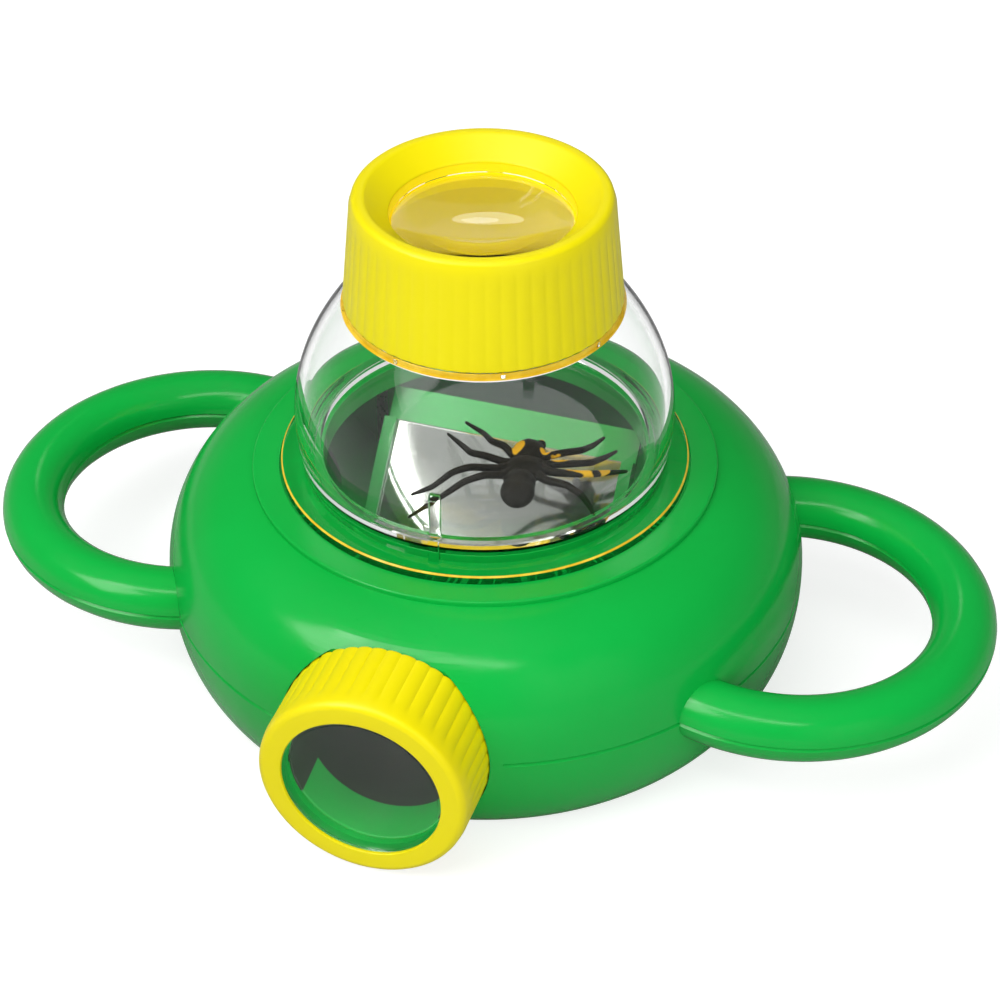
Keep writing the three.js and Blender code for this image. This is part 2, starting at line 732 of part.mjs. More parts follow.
function makeEyeCap() {
  const shoulder = eyeFront - eyeSmoothBand;
  const skirt = ribbedSkirt(eyeRibCount, eyeRibDepth, eyeCapRadius, eyeCapRadius, eyeRear, shoulder);
  const head = solid(turned([
    [0, eyeRear],
    [eyeCapRadius - 1.2 * eyeRibDepth, eyeRear],
    [eyeCapRadius - eyeRibDepth / 2, shoulder],
    [eyeFrontRadius, eyeFront - eyeFrontRound],
    [eyeFrontRadius - eyeFrontRound / 3, eyeFront - eyeFrontRound / 3],
    [eyeFrontRadius - eyeFrontRound, eyeFront],
    [0, eyeFront],
  ], eyeFacets));
  const bore = solid(turned([
    [0, eyeRear - cutMargin],
    [eyeCapBore, eyeRear - cutMargin],
    [eyeCapBore, eyeRingRear - fitGap],
    [eyeRingRadius + fitGap, eyeRingRear - fitGap],
    [eyeRingRadius + fitGap, eyeLensRear],
    [eyeLensRadius + fitGap, eyeLensRear],
    [eyeLensRadius + fitGap, eyeLipInside],
    [eyeHoleRadius, eyeLipInside],
    [eyeHoleRadius, eyeFront - softEdge],
    [eyeHoleRadius + softEdge + cutMargin, eyeFront + cutMargin],
    [0, eyeFront + cutMargin],
  ], eyeFacets));
  return skirt.add(head).subtract(bore).add(capThread(eyeCapBore, eyeRear, eyePitch));
}

// Threaded tube with a flange that the shells grip
function makeEyeTube() {
  const bore = eyeTubeRadius - eyeTubeWall;
  const tube = solid(turned([
    [bore, eyeTubeInnerEnd],
    [eyeTubeRadius, eyeTubeInnerEnd],
    [eyeTubeRadius, eyeFlangeInner],
    [eyeFlangeRadius, eyeFlangeInner],
    [eyeFlangeRadius, eyeFlangeOuter],
    [eyeTubeRadius, eyeFlangeOuter],
    [eyeTubeRadius, eyeTubeOuterEnd],
    [bore, eyeTubeOuterEnd],
    [bore, eyeTubeInnerEnd],
  ], eyeFacets));
  return tube.add(matingThread(eyeTubeRadius, tubeThreadBase, tubeThreadCrest, eyeRear, eyePitch));
}

// Plate at 45 degrees with side rails that hold the mirror and a ledge under its lower edge.
// It is drawn flat, with the mirror's face at z 0 and the slope along y, then turned into place.
function makeBracket() {
  const width = mirrorWidth + 2 * (fitGap + bracketRail);
  const length = slopeTop - slopeFoot;
  const middle = (slopeTop + slopeFoot) / 2;
  const back = -mirrorThickness;
  const rails = [-1, 1].flatMap((side) => {
    const x = side * (mirrorWidth / 2 + fitGap + bracketRail / 2);
    const top = fitGap + railLip;
    const root = back - bracketWall / 2;
    return [
      boxSolid(bracketRail, mirrorLength, top - root, x, 0, (root + top) / 2),
      boxSolid(bracketRail + railLip, mirrorLength, railLip, x - side * railLip / 2, 0, top - railLip / 2),
    ];
  });
  const flat = joined([
    boxSolid(width, length, bracketWall, 0, middle, back - bracketWall / 2),
    boxSolid(width, bracketStop, mirrorThickness + bracketStopLip, 0, slopeFoot + bracketStop / 2, back / 2),
    ...rails,
  ]);
  const tilt = new THREE.Matrix4().makeRotationX(Math.PI / 4).setPosition(0, 0, partingHeight);
  const plate = solid(geometryOf(flat).applyMatrix4(tilt));
  const below = boxSolid(2 * width, 2 * length, bracketSole + cutMargin, 0, 0, (bracketSole - cutMargin) / 2);
  return plate.subtract(below).add(makeBracketLegs());
}

// Upright gussets below the plate, each on its pad
function makeBracketLegs() {
  const behind = (mirrorThickness + bracketWall / 2) / diagonal; // from the mirror's face into the plate
  const topY = bracketTop - partingHeight - gussetDrop;
  const outline = shapeOf([
    [padFoot - partingHeight + behind, padFoot],
    [padDistance + padLength / 2, padFoot],
    [topY + behind, topY + partingHeight],
    [topY, topY + partingHeight - behind],
  ]);
  return joined(bracketBossPlaces().map((place) => {
    const side = Math.sign(place.x);
    const webX = place.x - side * (padWidth / 2 + gussetWall / 2 - gussetInset);
    const web = new THREE.ExtrudeGeometry(outline, { depth: gussetWall, bevelEnabled: false })
      .rotateX(Math.PI / 2).rotateZ(Math.PI / 2).translate(webX - gussetWall / 2, 0, 0);
    const pad = boxSolid(padWidth, padLength, padThickness, place.x, place.y, padFoot + padThickness / 2);
    const holeRadius = bracketScrew.shankRadius + screwGap;
    const hole = postSolid(holeRadius, padFoot - cutMargin, padTop + cutMargin, place);
    return solid(web).add(pad).subtract(hole);
  }));
}

// Rubber toy spider, drawn about its own middle on the floor with its head along +Y
function makeSpider() {
  const ellipsoid = (length, width, height, offset) => solid(
    new THREE.SphereGeometry(0.5, spiderFacets, spiderFacets / 2 + 1).rotateX(Math.PI / 2)
      .scale(width, length, height).translate(0, offset, spiderBodyLift));
  return joined([
    ellipsoid(abdomenLength, abdomenWidth, abdomenHeight, -abdomenOffset),
    ellipsoid(headLength, headWidth, headThickness, headOffset),
    ...spiderLegs.map(([turn, share]) => legSolid(
      (turn - spiderTurn) * degrees, share * (ledgeRadius - legWallRoom))),
  ]);
}

// One leg: up from the body to its knee and down to the floor
function legSolid(turn, reach) {
  const along = (share, height) => new THREE.Vector3(
    reach * share * Math.cos(turn), reach * share * Math.sin(turn), height);
  const path = new THREE.CatmullRomCurve3([
    along(0.04, spiderBodyLift),
    along(0.2, spiderBodyLift + legRadius),
    along(0.42, kneeLift),
    along(0.72, kneeLift / 2),
    along(1, legRadius + fitGap),
  ]);
  const section = shapeOf(Array.from({ length: legFacets }, (_, i) => {
    const angle = 2 * Math.PI * i / legFacets;
    return [legRadius * Math.cos(angle), legRadius * Math.sin(angle)];
  }));
  return solid(new THREE.ExtrudeGeometry(
    section, { steps: legSteps, extrudePath: path, bevelEnabled: false }));
}

// Materials
const looks = {
  green: { color: 0x1fb84a, roughness: 0.35, metalness: 0 },
  yellow: { color: 0xf2ea12, roughness: 0.35, metalness: 0 },
  clear: { color: 0xeef4f0, roughness: 0.05, metalness: 0, transparent: true, opacity: 0.35 },
  mirror: { color: 0xa6aca4, roughness: 0.1, metalness: 1 },
  steel: { color: 0xb8b8b4, roughness: 0.35, metalness: 1 },
  black: { color: 0x1a1712, roughness: 0.5, metalness: 0 },
};

function piece(name, geometry, look) {
  const mesh = new THREE.Mesh(geometry, new THREE.MeshStandardMaterial(looks[look]));
  mesh.name = name;
  return mesh;
}

// Assembly
const viewer = new THREE.Group();
const shells = wholeBody();
const underSpace = halfSpace(-cutMargin, partingHeight);
const upperSpace = halfSpace(partingHeight, floorUnderside + cutMargin);
viewer.add(
  piece('lower_shell', geometryOf(shells.intersect(underSpace)), 'green'),
  piece('upper_shell', geometryOf(shells.intersect(upperSpace)), 'green'),
  piece('mirror_bracket', geometryOf(makeBracket()), 'green'),
  piece('dome', geometryOf(makeDome()), 'clear'),
  piece('chamber_floor', discGeometry(spigotRadius, floorUnderside, floorHeight, domeFacets), 'clear'),
);

const mirrorPlace = new THREE.Group();
mirrorPlace.position.z = partingHeight;
mirrorPlace.rotation.x = Math.PI / 4;
const mirrorPlate = new THREE.BoxGeometry(mirrorWidth, mirrorLength, mirrorThickness)
  .translate(0, 0, -mirrorThickness / 2);
mirrorPlace.add(piece('mirror', mirrorPlate, 'mirror'));
viewer.add(mirrorPlace);

const topRingBore = topRingRadius - topRingWidth;
viewer.add(
  piece('top_cap', geometryOf(makeTopCap()), 'yellow'),
  piece('top_lens', lensGeometry(topLensRadius, topLensRim, topLensCrown, topLensFoot), 'clear'),
  piece('top_lens_ring', geometryOf(
    ringSolid(topRingBore, topRingRadius, topRingFoot, topLensFoot, eyeFacets)), 'yellow'),
);

const eyepiece = new THREE.Group();
const eyeRingBore = eyeRingRadius - eyeRingWidth;
eyepiece.position.z = partingHeight;
eyepiece.rotation.x = Math.PI / 2;
eyepiece.add(
  piece('eyepiece_tube', geometryOf(makeEyeTube()), 'green'),
  piece('eyepiece_cap', geometryOf(makeEyeCap()), 'yellow'),
  piece('eyepiece_lens', lensGeometry(eyeLensRadius, eyeLensRim, eyeLensCrown, eyeLensRear), 'clear'),
  piece('eyepiece_lens_ring', geometryOf(
    ringSolid(eyeRingBore, eyeRingRadius, eyeRingRear, eyeLensRear, eyeFacets)), 'yellow'),
);
viewer.add(eyepiece);

shellBossPlaces().forEach(({ x, y }, i) => {
  const screw = piece(`shell_screw_${i + 1}`, geometryOf(screwSolid(shellScrew)), 'steel');
  screw.position.set(x, y, shellScrewSeat);
  viewer.add(screw);
});
handleBossPlaces().forEach(({ x, y }, i) => {
  const screw = piece(`handle_screw_${i + 1}`, geometryOf(screwSolid(handleScrew)), 'steel');
  screw.position.set(x, y, handleScrewSeat);
  viewer.add(screw);
});
bracketBossPlaces().forEach(({ x, y }, i) => {
  const screw = piece(`bracket_screw_${i + 1}`, geometryOf(screwSolid(bracketScrew)), 'steel');
  screw.rotation.x = Math.PI;
  screw.position.set(x, y, padTop);
  viewer.add(screw);
});

const spider = piece('toy_spider', geometryOf(makeSpider()), 'black');
spider.position.set(spiderX, spiderY, floorHeight);
spider.rotation.z = spiderTurn * degrees;
viewer.add(spider);

export default viewer;
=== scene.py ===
# Looks of a two-way bug viewer, modelled around its fixed frame
# sizes in the dictionaries are millimetres unless a note says otherwise
import math
import bmesh
import bpy
from mathutils import Matrix, Vector


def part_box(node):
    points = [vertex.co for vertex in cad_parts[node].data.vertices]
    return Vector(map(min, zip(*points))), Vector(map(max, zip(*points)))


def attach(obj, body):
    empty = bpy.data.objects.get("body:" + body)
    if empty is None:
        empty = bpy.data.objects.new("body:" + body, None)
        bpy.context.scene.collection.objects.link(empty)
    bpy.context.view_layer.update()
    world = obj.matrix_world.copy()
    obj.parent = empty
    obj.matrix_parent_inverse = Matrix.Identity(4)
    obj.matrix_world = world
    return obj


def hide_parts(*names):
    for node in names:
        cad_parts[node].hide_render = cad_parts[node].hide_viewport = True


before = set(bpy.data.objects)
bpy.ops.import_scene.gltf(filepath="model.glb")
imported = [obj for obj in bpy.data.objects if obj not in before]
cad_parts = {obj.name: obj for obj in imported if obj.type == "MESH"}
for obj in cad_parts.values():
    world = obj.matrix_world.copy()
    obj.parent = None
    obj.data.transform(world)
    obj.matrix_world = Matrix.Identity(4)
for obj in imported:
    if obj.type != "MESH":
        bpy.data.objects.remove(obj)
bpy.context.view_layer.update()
mm = 0.001
fullTurn = 2 * math.pi
print("frame loaded:", len(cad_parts), "nodes")


def low(node):
    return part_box(node)[0] / mm  # lowest corner in millimetres


def high(node):
    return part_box(node)[1] / mm


# Camera, floor and light

view = {
    "turn": 18.22,  # degrees from straight in front towards the right
    "rise": 37.49,
    "distance": 589.34,
    "aimHeight": 36.08,
    "aside": 3.08,
    "roll": -0.33,
    "lens": 99.564,
}


def addCamera():
    turn, rise, roll = (math.radians(view[key]) for key in ("turn", "rise", "roll"))
    back = Vector((math.sin(turn) * math.cos(rise), -math.cos(turn) * math.cos(rise), math.sin(rise)))
    rotation = back.to_track_quat("Z", "Y").to_matrix() @ Matrix.Rotation(roll, 3, "Z")
    place = Vector((0, 0, view["aimHeight"])) + rotation.col[0] * view["aside"] + back * view["distance"]
    camera = bpy.data.objects.new("camera", bpy.data.cameras.new("camera"))
    camera.data.lens = view["lens"]
    camera.data.sensor_width = 36
    camera.data.clip_start = 0.01
    camera.matrix_world = Matrix.Translation(place * mm) @ rotation.to_4x4()
    bpy.context.scene.collection.objects.link(camera)
    bpy.context.scene.camera = camera


def addSoftbox(name, place, size, radiance, upward=(0, 0, 1)):
    # a panel with its middle at a place in metres, facing the object, its height along upward
    lamp = bpy.data.lights.new(name, "AREA")
    lamp.shape = "RECTANGLE"
    lamp.size, lamp.size_y = size
    lamp.energy = radiance * math.pi * size[0] * size[1]
    away = Vector(place).normalized()
    across = Vector(upward).cross(away).normalized()
    turned = Matrix((across, away.cross(across), away)).transposed()
    box = bpy.data.objects.new(name, lamp)
    box.matrix_world = Matrix.Translation(place) @ turned.to_4x4()
    bpy.context.scene.collection.objects.link(box)
    return box


# Shader maths written as Python

class Wire:
    def __init__(self, finish, socket):
        self.finish = finish
        self.socket = socket

    def maths(self, operation, first, second):
        return self.finish.node("ShaderNodeMath", {"operation": operation}, {0: first, 1: second})[0]

    def __add__(self, other):
        return self.maths("ADD", self, other)

    def __radd__(self, other):
        return self.maths("ADD", other, self)

    def __sub__(self, other):
        return self.maths("SUBTRACT", self, other)

    def __rsub__(self, other):
        return self.maths("SUBTRACT", other, self)

    def __mul__(self, other):
        return self.maths("MULTIPLY", self, other)

    def __rmul__(self, other):
        return self.maths("MULTIPLY", other, self)


class Finish:
    def __init__(self, name):
        self.material = bpy.data.materials.new(name)
        self.material.use_nodes = True
        self.tree = self.material.node_tree
        self.tree.nodes.clear()
        self.point = self.node("ShaderNodeTexCoord")["Object"]

    def node(self, kind, settings=None, sockets=None):
        made = self.tree.nodes.new(kind)
        for key, value in (settings or {}).items():
            if key == "stops":
                self.setStops(made.color_ramp, value)
            else:
                setattr(made, key, value)
        for key, value in (sockets or {}).items():
            if isinstance(value, Wire):
                self.tree.links.new(value.socket, made.inputs[key])
            else:
                made.inputs[key].default_value = value
        return Outputs(self, made)

    def setStops(self, ramp, stops):
        while len(ramp.elements) < len(stops):
            ramp.elements.new(1)
        for element, (place, shade) in zip(ramp.elements, stops):
            element.position = place
            element.color = (shade, shade, shade, 1) if isinstance(shade, (int, float)) else (*shade, 1)

    def noise(self, scale, detail=2, roughness=0.5):
        return self.node("ShaderNodeTexNoise", {}, {
            "Vector": self.point, "Scale": scale, "Detail": detail, "Roughness": roughness})["Fac"]

    def ramp(self, value, stops):
        return self.node("ShaderNodeValToRGB", {"stops": stops}, {"Fac": value})["Color"]

    def blend(self, amount, first, second):
        return self.node("ShaderNodeMix", {"data_type": "RGBA"}, {
            "Factor": amount, 6: self.colour(first), 7: self.colour(second)})[2]

    def colour(self, value):
        return value if isinstance(value, Wire) else (*value, 1)

    def bump(self, height, depth, normal=None):
        sockets = {"Height": height, "Distance": depth, "Strength": 1}
        if normal is not None:
            sockets["Normal"] = normal
        return self.node("ShaderNodeBump", {}, sockets)["Normal"]

    def shader(self, **sockets):
        names = {key.replace("_", " "): value for key, value in sockets.items()}
        names["Base Color"] = self.colour(names["Base Color"])
        return self.node("ShaderNodeBsdfPrincipled", {}, names)["BSDF"]

    def maximum(self, first, second):
        return self.node("ShaderNodeMath", {"operation": "MAXIMUM"}, {0: first, 1: second})[0]

    def output(self, shader):
        self.node("ShaderNodeOutputMaterial", {}, {"Surface": shader})
        return self.material

    def principled(self, **sockets):
        return self.output(self.shader(**sockets))


class Outputs:
    def __init__(self, finish, node):
        self.finish = finish
        self.node = node

    def __getitem__(self, key):
        return Wire(self.finish, self.node.outputs[key])


# Finishes

moulded = {
    "clouds": 22,  # the sizes of the patterns are noise scales, in repeats for each metre
    "waves": 60,
    "waveDepth": 0.00006,  # depths are metres
    "grains": 900,
    "grainDepth": 0.000012,
    "scuffs": 140,
    "scuffing": 0.08,
    "shine": 0.36,
}


def mouldedPlastic(name, deep, bright, roughness):
    finish = Finish(name)
    cloud = finish.noise(moulded["clouds"], 3)
    grain = finish.noise(moulded["grains"], 2)
    mottle = finish.ramp(cloud, [(0.3, 0), (0.7, 1)])
    colour = finish.blend(mottle, deep, bright)
    wave = finish.noise(moulded["waves"], 1)
    normal = finish.bump(wave, moulded["waveDepth"])
    normal = finish.bump(grain, moulded["grainDepth"], normal)
    scuff = finish.ramp(finish.noise(moulded["scuffs"], 4, 0.7), [(0.45, 0), (0.75, 1)])
    return finish.principled(
        Base_Color=colour, Roughness=scuff * moulded["scuffing"] + roughness, IOR=1.5, Normal=normal,
        Specular_IOR_Level=moulded["shine"])


clearSurface = {"waves": 45, "hazes": 240, "hazing": 0.03, "tints": 30, "shine": 0.35}


def clearPlastic(name, tint, ior, waveDepth, passed):
    # passed is the colour that lamp light keeps on its way through, so that the chamber is lit
    finish = Finish(name)
    wave = finish.noise(clearSurface["waves"], 2)
    haze = finish.ramp(finish.noise(clearSurface["hazes"], 3), [(0.5, 0), (0.8, 1)])
    paler = tuple(min(1, part * 1.01) for part in tint)
    colour = finish.blend(finish.noise(clearSurface["tints"], 2), tint, paler)
    glass = finish.shader(
        Base_Color=colour, Roughness=haze * clearSurface["hazing"], IOR=ior, Transmission_Weight=1.0,
        Specular_IOR_Level=clearSurface["shine"], Normal=finish.bump(wave, waveDepth))
    path = finish.node("ShaderNodeLightPath")
    lampRay = finish.maximum(path["Is Shadow Ray"], path["Is Diffuse Ray"])
    openWay = finish.node("ShaderNodeBsdfTransparent", {}, {"Color": (*passed, 1)})["BSDF"]
    mixed = finish.node("ShaderNodeMixShader", {}, {0: lampRay, 1: glass, 2: openWay})["Shader"]
    return finish.output(mixed)


def paintedGlowPlastic(name, colour, glow, strength):
    # moulded plastic with a painted glow: its emission stands in for the warm light that soaks through its
    # wall
    finish = Finish(name)
    cloud = finish.ramp(finish.noise(60, 2), [(0.3, 0), (0.7, 1)])
    shade = finish.blend(cloud, colour, tuple(part * 0.92 for part in colour))
    light = finish.blend(cloud, glow, tuple(part * 0.85 for part in glow))
    grain = finish.noise(moulded["grains"], 2)
    return finish.principled(
        Base_Color=shade, Roughness=cloud * 0.06 + 0.34, Emission_Color=light, Emission_Strength=strength,
        Normal=finish.bump(grain, 0.00001))


def paintedAmberReflection():
    # a painted reflection of the yellow cap on the clear rims, with a faint painted glow
    finish = Finish("paintedAmberReflection")
    streak = finish.ramp(finish.noise(260, 3), [(0.35, 0), (0.7, 1)])
    colour = finish.blend(streak, (0.66, 0.42, 0.015), (0.80, 0.58, 0.05))
    return finish.principled(
        Base_Color=colour, Roughness=streak * 0.1 + 0.12, Emission_Color=colour,
        Emission_Strength=0.1, Normal=finish.bump(finish.noise(300, 2), 0.00003))


def mirrorFinish():
    finish = Finish("mirrorGlass")
    specks = finish.ramp(finish.noise(700, 2), [(0.62, 0), (0.68, 1)])
    cloud = finish.ramp(finish.noise(35, 3), [(0.3, 0), (0.75, 1)])
    colour = finish.blend(cloud, (0.66, 0.68, 0.64), (0.72, 0.74, 0.70))
    dulled = specks * 0.02 + cloud * 0.02 + 0.05
    return finish.principled(Base_Color=colour, Metallic=0.9, Roughness=dulled)


def steelFinish():
    finish = Finish("screwSteel")
    turning = finish.noise(1400, 2)
    colour = finish.blend(turning, (0.42, 0.42, 0.41), (0.62, 0.62, 0.60))
    return finish.principled(
        Base_Color=colour, Metallic=1.0, Roughness=turning * 0.15 + 0.22,
        Normal=finish.bump(turning, 0.00001))


def spiderFinish():
    finish = Finish("spiderRubber")
    paint = finish.node("ShaderNodeAttribute", {"attribute_name": "paint"})["Fac"]
    ragged = finish.ramp(finish.noise(420, 3) * 0.5 + paint - 0.25, [(0.44, 0), (0.52, 1)])
    fuzz = finish.noise(700, 4, 0.7)
    black = finish.blend(fuzz, (0.004, 0.004, 0.003), (0.016, 0.015, 0.010))
    colour = finish.blend(ragged, black, (0.86, 0.48, 0.02))
    return finish.principled(
        Base_Color=colour, Roughness=fuzz * 0.15 + 0.5, Specular_IOR_Level=0.15,
        Normal=finish.bump(fuzz, 0.0002))


finishes = {
    "green": mouldedPlastic("greenPlastic", (0.003, 0.385, 0.045), (0.004, 0.42, 0.055), 0.17),
    "yellow": mouldedPlastic("yellowPlastic", (0.82, 0.71, 0.0004), (0.86, 0.75, 0.0006), 0.34),
    # the bracket's green plastic, its base colour painted lighter than the body's, standing in for the
    # highlight on the plate
    "greenPaintedLighter": mouldedPlastic("greenPaintedLighter", (0.04, 0.58, 0.11), (0.05, 0.64, 0.13), 0.2),
    "clear": clearPlastic("clearPlastic", (0.955, 0.965, 0.958), 1.25, 0.00001, (0.93, 0.94, 0.93)),
    "clearFloor": clearPlastic("clearFloor", (0.985, 0.99, 0.985), 1.2, 0.00001, (0.95, 0.96, 0.95)),
    "lens": clearPlastic("lensPlastic", (0.985, 0.99, 0.985), 1.49, 0.000001, (0.93, 0.94, 0.93)),
    "eyeLens": clearPlastic("eyeLensPlastic", (0.985, 0.99, 0.985), 1.28, 0.000001, (0.95, 0.96, 0.95)),
    # painted glow, green, for the eyepiece's bore and its lens ring
    "paintedGlowGreen": paintedGlowPlastic("paintedGlowGreen", (0.004, 0.42, 0.05), (0.01, 0.5, 0.07), 0.2),
    # painted shade: near-black green put on inner walls where shade falls
    "paintedShadeInside": mouldedPlastic("paintedShadeInside", (0.02, 0.05, 0.02), (0.03, 0.07, 0.03), 0.5),
    # painted glow, amber, for the inside of the top cap and its lens ring
    "paintedGlowYellow": paintedGlowPlastic("paintedGlowYellow", (0.80, 0.66, 0.001), (0.86, 0.60, 0.006), 0.5),
    "paintedAmberReflection": paintedAmberReflection(),
    "mirror": mirrorFinish(),
    "steel": steelFinish(),
    "spider": spiderFinish(),
}
print("finishes made:", len(finishes))


# Modelling tools

cornerSegments = 4  # of a rounding in a spun outline
blockSegments = 2


def outlineMesh(corners, closed):
    # a corner is (radius, height) or (radius, height, rounding)
    bm = bmesh.new()
    verts = [bm.verts.new((corner[0] * mm, 0, corner[1] * mm)) for corner in corners]
    for pair in zip(verts, verts[1:] + verts[:1] * closed):
        bm.edges.new(pair)
    for rounding in sorted({corner[2] for corner in corners if len(corner) > 2}):
        picked = [vert for vert, corner in zip(verts, corners) if len(corner) > 2 and corner[2] == rounding]
        bmesh.ops.bevel(
            bm, geom=picked, offset=rounding * mm, offset_type="OFFSET", segments=cornerSegments,
            profile=0.5, affect="VERTICES", material=-1)
    return bm


def spun(corners, steps, closed=True):
    # an outline turned round the Z axis; one that isn't closed begins and ends on the axis
    bm = outlineMesh(corners, closed)
    bmesh.ops.spin(
        bm, geom=bm.verts[:] + bm.edges[:], cent=(0, 0, 0), axis=(0, 0, 1), dvec=(0, 0, 0), angle=fullTurn,
        steps=steps, use_merge=True, use_duplicate=False)
    bmesh.ops.remove_doubles(bm, verts=bm.verts, dist=1e-7)
    bmesh.ops.recalc_face_normals(bm, faces=bm.faces)
    return bm


def boxed(size, centre, rounding=0):
    # a block with rounded edges, its size and centre in millimetres
    bm = bmesh.new()
    bmesh.ops.create_cube(bm, size=1)
    bmesh.ops.scale(bm, vec=Vector(size) * mm, verts=bm.verts)
    bmesh.ops.translate(bm, vec=Vector(centre) * mm, verts=bm.verts)
    if rounding:
        bmesh.ops.bevel(
            bm, geom=bm.edges[:], offset=rounding * mm, offset_type="OFFSET", segments=blockSegments,
            profile=0.5, affect="EDGES", material=-1)
    return bm


def placed(bm, matrix):
    bmesh.ops.transform(bm, matrix=matrix, verts=bm.verts)
    return bm


def asObject(bm, name):
    mesh = bpy.data.meshes.new(name)
    bm.to_mesh(mesh)
    bm.free()
    made = bpy.data.objects.new(name, mesh)
    bpy.context.scene.collection.objects.link(made)
    return made


def applied(obj):
    # bakes the modifiers into the mesh
    mesh = bpy.data.meshes.new_from_object(obj.evaluated_get(bpy.context.evaluated_depsgraph_get()))
    obj.modifiers.clear()
    old = obj.data
    obj.data = mesh
    bpy.data.meshes.remove(old)
    mesh.name = obj.name
    return obj


def combine(obj, operation, *tools):
    for tool in tools:
        modifier = obj.modifiers.new("combine", "BOOLEAN")
        modifier.operation = operation
        modifier.solver = "MANIFOLD"
        modifier.object = tool
        applied(obj)
        bpy.data.objects.remove(tool)
    return obj


def finished(obj, finish, slot, body, *nodes, sharp=32):
    mesh = obj.data
    mesh.materials.clear()
    mesh.materials.append(finishes[finish])
    mesh.polygons.foreach_set("use_smooth", [True] * len(mesh.polygons))
    mesh.set_sharp_from_angle(angle=math.radians(sharp))
    if sharp < 90:
        # flat faces stay flat beside rounded edges
        flat = obj.modifiers.new("flatFaces", "WEIGHTED_NORMAL")
        flat.keep_sharp = True
        flat.weight = 100
    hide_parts(*nodes)
    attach(obj, body)
    print("piece", obj.name, len(mesh.polygons), "faces")
    return obj


def repaint(obj, finish, test):
    # a finish of their own for the faces that pass a test by middle, in millimetres, and normal
    mesh = obj.data
    mesh.materials.append(finishes[finish])
    for face in mesh.polygons:
        if test(face.center / mm, face.normal):
            face.material_index = len(mesh.materials) - 1
    print("   ", finish, "on", obj.name)
    return obj


def onEyeAxis(height):
    # a piece made along +Z is laid along -Y at the height of the eyepiece axis
    return Matrix.Translation((0, 0, height * mm)) @ Matrix.Rotation(math.pi / 2, 4, "X")


# Body shells with their handles

shellHigh = high("upper_shell")
domeHigh = high("dome")
floorLow = low("chamber_floor")
floorHigh = high("chamber_floor")
capLow = low("top_cap")
capHigh = high("top_cap")
eyeCapLow = low("eyepiece_cap")
eyeCapHigh = high("eyepiece_cap")
eyeRadius = eyeCapHigh.x
eyeAxis = (eyeCapLow.z + eyeCapHigh.z) / 2

shell = {
    "radius": shellHigh.y,
    "seam": low("upper_shell").z,
    "sideWidth": 22,
    "power": 2.2,  # of the superellipse of the side; 2 would be a circle
    "rise": 25,
    "drop": 27.6,
    "wall": 2.4,
    "notch": 0.45,  # half the height of the groove at the seam
    "baseFillet": 1.2,
    "ringRadius": 48.9,
    "ringTop": 48.2,
    "ringEdge": 0.45,
    "seat": 47.5,
    "recessGap": 0.3,
    "spigotWall": 2,
    "upperSteps": 28,
    "lowerSteps": 18,
    "innerSteps": 16,
    "steps": 180,
}
handle = {
    "centre": 67.2,
    "ringRadius": 36.4,
    "tubeRadius": 6.7,
    "ringSteps": 128,
    "tubeSteps": 16,
}
eyeWay = {
    "pocketGap": 0.2,  # between the eyepiece's cap and its pocket
    "pocketFace": 60.6,
    "bossInner": 54,
    "bossWall": 2.4,
    "bore": 18.5,
    "steps": 128,
}


def sideCurve(inset, rise, start, end, steps):
    # the body's rounded side as a superellipse quarter, by angle
    points = []
    for i in range(steps + 1):
        angle = start + (end - start) * i / steps
        out = math.cos(angle) ** (2 / shell["power"])
        up = math.copysign(abs(math.sin(angle)) ** (2 / shell["power"]), angle)
        radius = shell["radius"] - shell["sideWidth"] + (shell["sideWidth"] - inset) * out
        points.append((radius, shell["seam"] + (rise - inset) * up))
    return points


def angleAtHeight(height, rise):
    return math.asin((height / rise) ** (shell["power"] / 2))


def angleAtRadius(radius, inset):
    share = (radius - shell["radius"] + shell["sideWidth"]) / (shell["sideWidth"] - inset)
    return math.acos(share ** (shell["power"] / 2))


def upperSide(inset, notch):
    start = angleAtHeight(notch, shell["rise"] - inset)
    end = angleAtRadius(shell["ringRadius"] + 0.2, inset)
    return sideCurve(inset, shell["rise"], start, end, shell["upperSteps"])


def lowerSide(inset, notch):
    foot = angleAtHeight(shell["seam"] - inset, shell["drop"] - inset)
    end = angleAtHeight(notch, shell["drop"] - inset)
    return sideCurve(inset, shell["drop"], -foot, -end, shell["lowerSteps"])


def upperForm(inset):
    # solid outside of the upper half, for cutting against
    side = upperSide(inset, 0.01)
    ring = shell["ringRadius"] - inset
    top = shell["ringTop"] - inset
    corners = [(0, shell["seam"]), *side, (ring, side[-1][1]), (ring, top), (0, top)]
    return spun(corners, shell["steps"], False)


def lowerForm(inset):
    side = lowerSide(inset, 0.01)
    corners = [(0, inset), *side, (side[-1][0], shell["seam"]), (0, shell["seam"])]
    return spun(corners, shell["steps"], False)


def upperShellBody():
    notch = shell["notch"]
    wall = shell["wall"]
    seam = shell["seam"]
    ceiling = shell["seat"] - wall
    side = upperSide(0, notch)
    inner = sideCurve(wall, shell["rise"], 0, math.radians(75), shell["innerSteps"])
    recess = domeHigh.x + shell["recessGap"]
    spigot = floorHigh.x
    return spun([
        (shell["radius"] - notch, seam),
        *side,
        (shell["ringRadius"], side[-1][1]),
        (shell["ringRadius"], shell["ringTop"], shell["ringEdge"]),
        (recess, shell["ringTop"], 0.25),
        (recess, shell["seat"]),
        (spigot, shell["seat"]),
        (spigot, floorLow.z, 0.2),
        (spigot - shell["spigotWall"], floorLow.z, 0.2),
        (spigot - shell["spigotWall"], ceiling, 0.3),
        (inner[-1][0] - 1, ceiling),
        *reversed(inner),
    ], shell["steps"])


